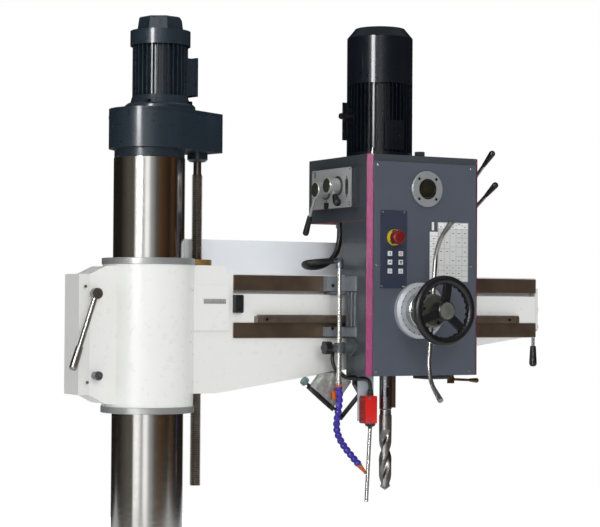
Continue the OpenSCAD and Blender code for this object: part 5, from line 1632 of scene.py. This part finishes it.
@dataclass
class Coolant(SubAssembly):
    """Coolant pipe, its clamp and the two cords on the head."""

    nodes: Dress = (
        ("coolant_pipe", "chrome"),
        ("coolant_hose", "hose_links"),
        ("valve_lever", "valve_orange"),
        ("pipe_clamp", "clamp_grey"),
        ("clamp_knob", "black_plastic"),
    )
    reach: float = 694.0
    supply_wide: float = 17.0
    supply: Spots = (
        (-153, -132, 133), (-166, -132, 133), (-186, -132, 132.5), (-206, -132, 131),
        (-224, -131, 129.5), (-237, -127, 128), (-245, -118, 126.5), (-247, -105, 125),
        (-244, -90, 123.5), (-237, -74, 122), (-227, -58, 120), (-214, -42, 118),
        (-198, -28, 116.5), (-180, -16, 116), (-161, -6, 117), (-141, 2, 120), (-121, 9, 126),
        (-103, 15, 135), (-88, 19, 147), (-77, 21, 161), (-70, 22, 177), (-66, 22, 195),
        (-64, 22, 215), (-64, 22, 250),
    )
    lead_wide: float = 11.0
    lead: Spots = (
        (-54, -144, -235.6), (-54, -144, -228), (-56, -143, -218), (-60, -140, -210.5),
        (-69, -136, -207), (-81, -131, -207), (-93, -126, -207), (-105, -121.5, -206),
        (-117, -119, -203), (-128, -118, -199), (-139, -117.5, -193.5), (-150, -117.5, -186),
        (-158, -117.5, -176), (-163, -117, -163), (-165, -116, -150), (-163, -113, -137),
        (-157, -108, -126), (-147, -103, -118), (-136, -99, -114.5), (-122, -98, -113),
        (-104.4, -98, -113),
    )
    pipe_end: Point = (542.0, -132.0, 112.0)
    socket_end: Point = (546.0, -132.0, 133.0)
    gland_end: Point = (630.0, 22.0, 234.0)
    clamp_nut_at: Point = (507.0, -132.0, -117.0)

    def cords(self) -> None:
        """The coolant supply line and the switch's lead, each on its own route."""
        collars = Form()
        ferrule = [(11, 0), (11, 24), (9.5, 25.5), (9.5, 28), (0, 28)]
        collars.turned(spot(*self.pipe_end), UP, ferrule, steps=24)
        elbow = [(10.5, 0), (10.5, 14), (9.6, 15), (9.6, 27), (0, 27)]
        collars.turned(spot(*self.socket_end), LEFT, elbow, steps=HEXAGON)
        collars.turned(spot(*self.gland_end), UP, [(10, 0), (13, 1), (13, 15), (0, 15)], steps=HEXAGON)
        ends = self.add(collars, "supply_collars", "bolt_grey", "head", "bright")
        for name, node, route, wide in (
            ("supply_line", "supply_hose", self.supply, self.supply_wide),
            ("switch_lead", "switch_cable", self.lead, self.lead_wide),
        ):
            points = self.smooth([spot(self.reach + x, y, z) for x, y, z in route])
            obj = self.add(Form().tube(points, wide / 2000, 20), name, "black_rubber", "head", "black_rubber")
            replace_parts(obj, node)

    @staticmethod
    def smooth(points: list[Vector], steps: int = 5) -> list[Vector]:
        """A smooth line through points.

        Args:
            points: The points to pass through.
            steps: Pieces between two points.

        Returns:
            The points of the line.
        """
        line = []
        for i in range(len(points) - 1):
            a, b = points[max(i - 1, 0)], points[i]
            c, d = points[i + 1], points[min(i + 2, len(points) - 1)]
            for k in range(steps):
                t = k / steps
                near = b * (1.5 * t**3 - 2.5 * t**2 + 1) + c * (-1.5 * t**3 + 2 * t**2 + 0.5 * t)
                far = a * (-0.5 * t**3 + t**2 - 0.5 * t) + d * (0.5 * t**3 - 0.5 * t**2)
                line.append(near + far)
        return line + [points[-1]]

    def detail(self) -> None:
        """The nut of the pipe's clamp."""
        nut = Form().screws([spot(*self.clamp_nut_at)], LEFT, head=12, high=5, sides=HEXAGON)
        self.add(nut, "clamp_nut", "dark_screw", "head", "clamp_grey")


@dataclass
class WorkLamp(SubAssembly):
    """The work lamp: a ribbed shell cut off at the back, its rim, window, knob and rods."""

    nodes: Dress = (
        ("lamp_bracket", "lamp_black"),
        ("work_lamp", "lamp_metal"),
    )
    at: Point = (463.0, -92.0, -231.0)
    tilt: float = 39.0
    lean: float = 14.0
    long: float = 103.0
    half_wide: float = 18.6
    rib: float = 0.015
    sides: int = 72
    back_low: float = 46.5
    back_high: float = 99.0
    back_run: float = 49.0
    knob_x: float = -27.0
    rods_x: Pair = (-14.0, 95.0)
    rods_long: Pair = (24.0, 50.0)
    pivot_z: float = 6.0

    def place(self) -> Matrix:
        """The lamp's own frame in the machine."""
        return Matrix.Translation(spot(*self.at)) @ Matrix.Rotation(math.radians(self.tilt), 4, "Y")

    def back(self, x: float) -> float:
        """Height of the shell's slanting back end at a place along X."""
        slope = (self.back_high - self.back_low) / self.back_run
        return min(self.back_high, self.back_low + max(x, 0.0) * slope)

    def oval(
        self, more: float, wider: float, z: float, rib: float = 0.0, on_back: bool = False
    ) -> list[Vector]:
        """The outline of the lamp at one height.

        Args:
            more: How much longer the oval is than the lamp, at each end.
            wider: How much wider it is than the lamp, on each side.
            z: Its height above the light's opening, or above the back end.
            rib: How far the ribs stand out, as a share.
            on_back: Whether the height counts from the back end.

        Returns:
            The outline's corners.
        """
        frame, middle, lean = self.place(), self.long / 2, math.tan(math.radians(self.lean))
        row = []
        for k, a in enumerate(turns(self.sides)):
            grow = 1 + rib * (k % 4 in (0, 1))
            x = middle + (middle + more) * grow * math.cos(a)
            y = (self.half_wide + wider) * grow * math.sin(a)
            row.append(frame @ (Vector((x, y, z + (self.back(x) if on_back else y * lean))) / 1000))
        return row

    def detail(self) -> None:
        """The shell in place of the plain one, the rim, the window, the knob and the rods."""
        shell = Form().loft([
            self.oval(-1, 0, 4, self.rib),
            self.oval(-1, 0, -3, self.rib, on_back=True),
            self.oval(-1, 0, 0, self.rib, on_back=True),
            self.oval(-5, -4, 0.5, on_back=True),
        ])
        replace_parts(self.add(shell, "lamp_shell", "lamp_metal", "lamp", "lamp_alu"), "work_lamp")
        outer = [(1, 0.8, 8.0), (4, 2, 6.5), (4, 2, -3.0), (2, 1, -5.0)]
        inner = [(-5, -4.5, -4.0), (-6, -5.5, 1.0)]
        rim = Form().loft([self.oval(*row) for row in outer + inner])
        self.add(rim, "lamp_rim", "lamp_black", "lamp", "lamp_black")
        glass = Form().loft([self.oval(-6.2, -5.7, z) for z in (1.2, 0.2)])
        self.add(glass, "lamp_window", "lamp_glass", "lamp", "lamp_alu")
        frame = self.place()
        along = frame.to_3x3() @ RIGHT
        section = [(0, 0), (11.5, 0), (13, 1.5), (13, 12), (11, 13.5), (0, 13.5)]
        start = frame @ (Vector((self.knob_x, 0, self.pivot_z)) / 1000)
        knob = Form().turned(start, along, section, steps=28)
        self.add(knob, "lamp_knob", "knob_green", "lamp", "black_plastic")
        rods = Form()
        for x, length in zip(self.rods_x, self.rods_long):
            start = frame @ (Vector((x, 0, self.pivot_z)) / 1000)
            rods.turned(start, along, [(4, 0), (4, length)], steps=16)
        self.add(rods, "lamp_rods", "dark_screw", "lamp", "lamp_black")


@dataclass
class LimitSwitch(SubAssembly):
    """The limit switch under the head and the rod that trips it."""

    nodes: Dress = (
        ("trip_switch", "switch_shell"),
        ("underside_plates", "bar_steel"),
        ("trip_rod", "chrome"),
    )
    case: tuple[Point, Point] = ((614, -160, -336), (655, -124, -256))
    axis: Pair = (640.0, -144.0)
    rib_at: tuple[Point, Point] = ((612.9, -153, -328), (614.6, -131, -321))
    rib_pitch: float = 14.0
    ribs: int = 5
    cover_x: Pair = (599.5, 628.5)
    cover_z: Pair = (-262.0, -330.0)
    cover_y: float = -159.8
    plate_screws: Spots = ((600, -125, -202), (634, -125, -202))

    def detail(self) -> None:
        """The ribbed case with its gland and dome, and the screws."""
        (low, high), (rib_low, rib_high) = self.case, self.rib_at
        case = Form().block(spot(*low), spot(*high), edge=0.003)
        gland = [(11, 0), (11, 8), (10, 8.2), (8, 20), (6, 21), (0, 21)]
        case.turned(spot(*self.axis, high[2] - 1), UP, gland, steps=HEXAGON)
        dome = [(15.5, 0), (15.2, 4), (12.5, 8), (7, 9.5), (6.5, 14), (0, 14)]
        case.turned(spot(*self.axis, low[2]), DOWN, dome, steps=32)
        for k in range(self.ribs):
            up = UP * self.rib_pitch * k / 1000
            case.block(spot(*rib_low) + up, spot(*rib_high) + up, edge=0.0008)
        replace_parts(self.add(case, "switch_case", "switch_shell", "head", "switch_red"), "trip_switch")
        corners = [spot(x, self.cover_y, z) for z in self.cover_z for x in self.cover_x]
        screws = Form().screws(corners, FRONT, head=7.5, high=1.4)
        screws.screws([spot(*at) for at in self.plate_screws], DOWN, head=6, high=1.5)
        self.add(screws, "switch_screws", "bolt_grey", "head", "bright")


class Studio:
    """Camera, lights, floor and the hall that the metal mirrors."""

    # The camera's place in metres, its turns in radians and its lens in millimetres
    EYE = Vector((-2.1331, -4.7912, 1.44815))
    YAW = 0.4999022
    PITCH = 0.0226630
    ROLL = 0.0066540
    LENS = 111.85
    SENSOR = 36.0
    FAR = 100.0
    WINDOW, WALL, DIM, BROWN, DARK = "ffffff", "a0a0a0", "504c46", "483018", "1c1814"
    # Tones round the hall, by the share of a full turn
    HALL = (
        (0.0, DIM), (0.05, DIM), (0.065, WINDOW), (0.1, WINDOW), (0.135, WALL),
        (0.155, WINDOW), (0.175, WINDOW), (0.2, WALL), (0.25, DIM), (0.3, BROWN),
        (0.37, DARK), (0.41, BROWN), (0.45, DARK), (0.9, DARK), (1.0, DIM),
    )
    HALL_STRENGTH = 1.35
    # A bright window high in the hall: middle and half width by turn, then by height
    PANE_TURN, PANE_TURN_HALF = 0.1, 0.017
    PANE_HEIGHT, PANE_HEIGHT_HALF = 0.25, 0.16
    PANE_STRENGTH = 34.0
    # The ceiling, which takes over from the hall between two heights
    CEILING, CEILING_STRENGTH = "8a8d90", 0.9
    CEILING_FROM, CEILING_TO = 0.5, 0.85
    # Light on surfaces that mirror nothing
    SOFT, SOFT_STRENGTH = (0.96, 0.98, 1.0, 1), 0.58
    WHITE = (1, 1, 1, 1)

    def build(self) -> None:
        """Sets up the room, the lamps and the floor."""
        self.room()
        self.lights()
        self.floor()
        bpy.context.scene.view_settings.view_transform = "Standard"
        LOG.info("studio ready")

    def camera(self) -> None:
        """Puts the camera where the photograph was taken from."""
        level = math.cos(self.PITCH)
        f = Vector((math.sin(self.YAW) * level, math.cos(self.YAW) * level, math.sin(self.PITCH)))
        r = Vector((math.cos(self.YAW), -math.sin(self.YAW), 0))
        u = r.cross(f)
        c, s = math.cos(self.ROLL), math.sin(self.ROLL)
        right, up = r * c + u * s, u * c - r * s
        data = bpy.data.cameras.new("viewpoint")
        data.lens = self.LENS
        data.sensor_width = self.SENSOR
        data.sensor_fit = "HORIZONTAL"
        data.clip_end = self.FAR
        cam = bpy.data.objects.new("viewpoint", data)
        cam.matrix_world = Matrix.Translation(self.EYE) @ Matrix((right, up, -f)).transposed().to_4x4()
        bpy.context.scene.collection.objects.link(cam)
        bpy.context.scene.camera = cam

    @staticmethod
    def light(tree: Tree, colour: Socket | Colour, strength: Socket | float) -> Socket:
        """Adds a plain light to the world.

        Args:
            tree: The world's nodes.
            colour: The light's colour.
            strength: Its strength.

        Returns:
            The light's socket.
        """
        node = tree.add("ShaderNodeBackground")
        tree.feed(node.inputs[0], colour)
        tree.feed(node.inputs[1], strength)
        return node.outputs[0]

    @staticmethod
    def choose(tree: Tree, factor: Socket, first: Socket, second: Socket) -> Socket:
        """Chooses between two of the world's lights.

        Args:
            tree: The world's nodes.
            factor: 0 for the first light, 1 for the second.
            first: The first light.
            second: The second light.

        Returns:
            The chosen light's socket.
        """
        node = tree.add("ShaderNodeMixShader")
        for end, value in zip(node.inputs, (factor, first, second)):
            tree.feed(end, value)
        return node.outputs[0]

    def hall(self, tree: Tree, way: bpy.types.Node) -> Socket:
        """The hall that glossy surfaces mirror: windows and walls round it, and a ceiling.

        Args:
            tree: The world's nodes.
            way: The node with the ray's direction split into X, Y and Z.

        Returns:
            The hall's light.
        """
        x, y, z = way.outputs
        share = tree.math("MULTIPLY_ADD", tree.math("ARCTAN2", y, x), 1 / (2 * math.pi), 0.5)
        tones = tree.ramp(share, [(at, screen_colour(code)) for at, code in self.HALL])
        beside = tree.math("COMPARE", share, self.PANE_TURN, self.PANE_TURN_HALF)
        above = tree.math("COMPARE", z, self.PANE_HEIGHT, self.PANE_HEIGHT_HALF)
        bright = tree.math("MULTIPLY", beside, above)
        strength = tree.math("MULTIPLY_ADD", bright, self.PANE_STRENGTH, self.HALL_STRENGTH)
        high = tree.add("ShaderNodeMapRange")
        for slot, value in zip(high.inputs, (z, self.CEILING_FROM, self.CEILING_TO, 0.0, 1.0)):
            tree.feed(slot, value)
        ceiling = self.light(tree, screen_colour(self.CEILING), self.CEILING_STRENGTH)
        return self.choose(tree, high.outputs[0], self.light(tree, tones, strength), ceiling)

    def room(self) -> None:
        """A white room for the camera, and a hall with windows for what is mirrored."""
        world = bpy.data.worlds.new("room")
        bpy.context.scene.world = world
        tree = Tree(world)
        way = tree.add("ShaderNodeSeparateXYZ")
        tree.feed(way.inputs[0], tree.add("ShaderNodeTexCoord").outputs["Generated"])
        rays = tree.add("ShaderNodeLightPath")
        soft = self.light(tree, self.SOFT, self.SOFT_STRENGTH)
        lit = self.choose(tree, rays.outputs["Is Glossy Ray"], soft, self.hall(tree, way))
        seen = self.choose(tree, rays.outputs["Is Camera Ray"], lit, self.light(tree, self.WHITE, 1.0))
        tree.feed(tree.add("ShaderNodeOutputWorld").inputs[0], seen)

    def lamp(self, name: str, at: Point, aim: Point, size: float, power: float) -> None:
        """Adds one soft lamp.

        Args:
            name: Its name.
            at: Its place.
            aim: The point it faces.
            size: Its width.
            power: Its power in watts.
        """
        data = bpy.data.lights.new(name, "AREA")
        data.size = size
        data.energy = power
        obj = bpy.data.objects.new(name, data)
        obj.location = at
        obj.visible_glossy = False
        obj.rotation_euler = (Vector(aim) - Vector(at)).to_track_quat("-Z", "Y").to_euler()
        bpy.context.scene.collection.objects.link(obj)

    def lights(self) -> None:
        """A key light from the operator's side, a fill and a light from above."""
        self.lamp("key", at=(-0.9, -5.2, 3.0), aim=(0.5, 0, 1.4), size=2.2, power=100)
        self.lamp("fill", at=(-4.5, -0.6, 2.2), aim=(0.0, 0, 1.4), size=2.5, power=36)
        self.lamp("top", at=(0.4, -0.6, 5.0), aim=(0.4, 0, 1.2), size=2.5, power=45)

    def floor(self) -> None:
        """A pale floor under the machine, white to the camera."""
        obj = Form().block(Vector((-6, -6, -0.02)), Vector((7, 7, 0.0)), edge=0).object("studio_floor")
        n = Nodes("studio_floor")
        dull, pale = (0.86, 0.86, 0.86, 1), (0.9, 0.9, 0.9, 1)
        n.put("Base Color", n.ramp(n.noise(0.5, detail=4.0), [(0.3, dull), (0.7, pale)]))
        n.put("Roughness", 0.8)
        n.put("Emission Color", self.WHITE)
        n.put("Emission Strength", n.add("ShaderNodeLightPath").outputs["Is Camera Ray"])
        obj.data.materials.append(n.material)


def main() -> None:
    """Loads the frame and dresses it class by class."""
    logging.basicConfig(level=logging.INFO, format="%(message)s")
    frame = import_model()
    studio = Studio()
    studio.camera()
    finishes = Finishes()
    coolant = Coolant(frame, finishes)
    coolant.cords()
    studio.build()
    kinds = (Stand, Lift, Arm, Head, Controls, SelectorPlate, Feed, WorkLamp, LimitSwitch)
    for part in (*(kind(frame, finishes) for kind in kinds), coolant):
        part.build()
        LOG.info("%s done", type(part).__name__)


if __name__ == "__main__":
    main()
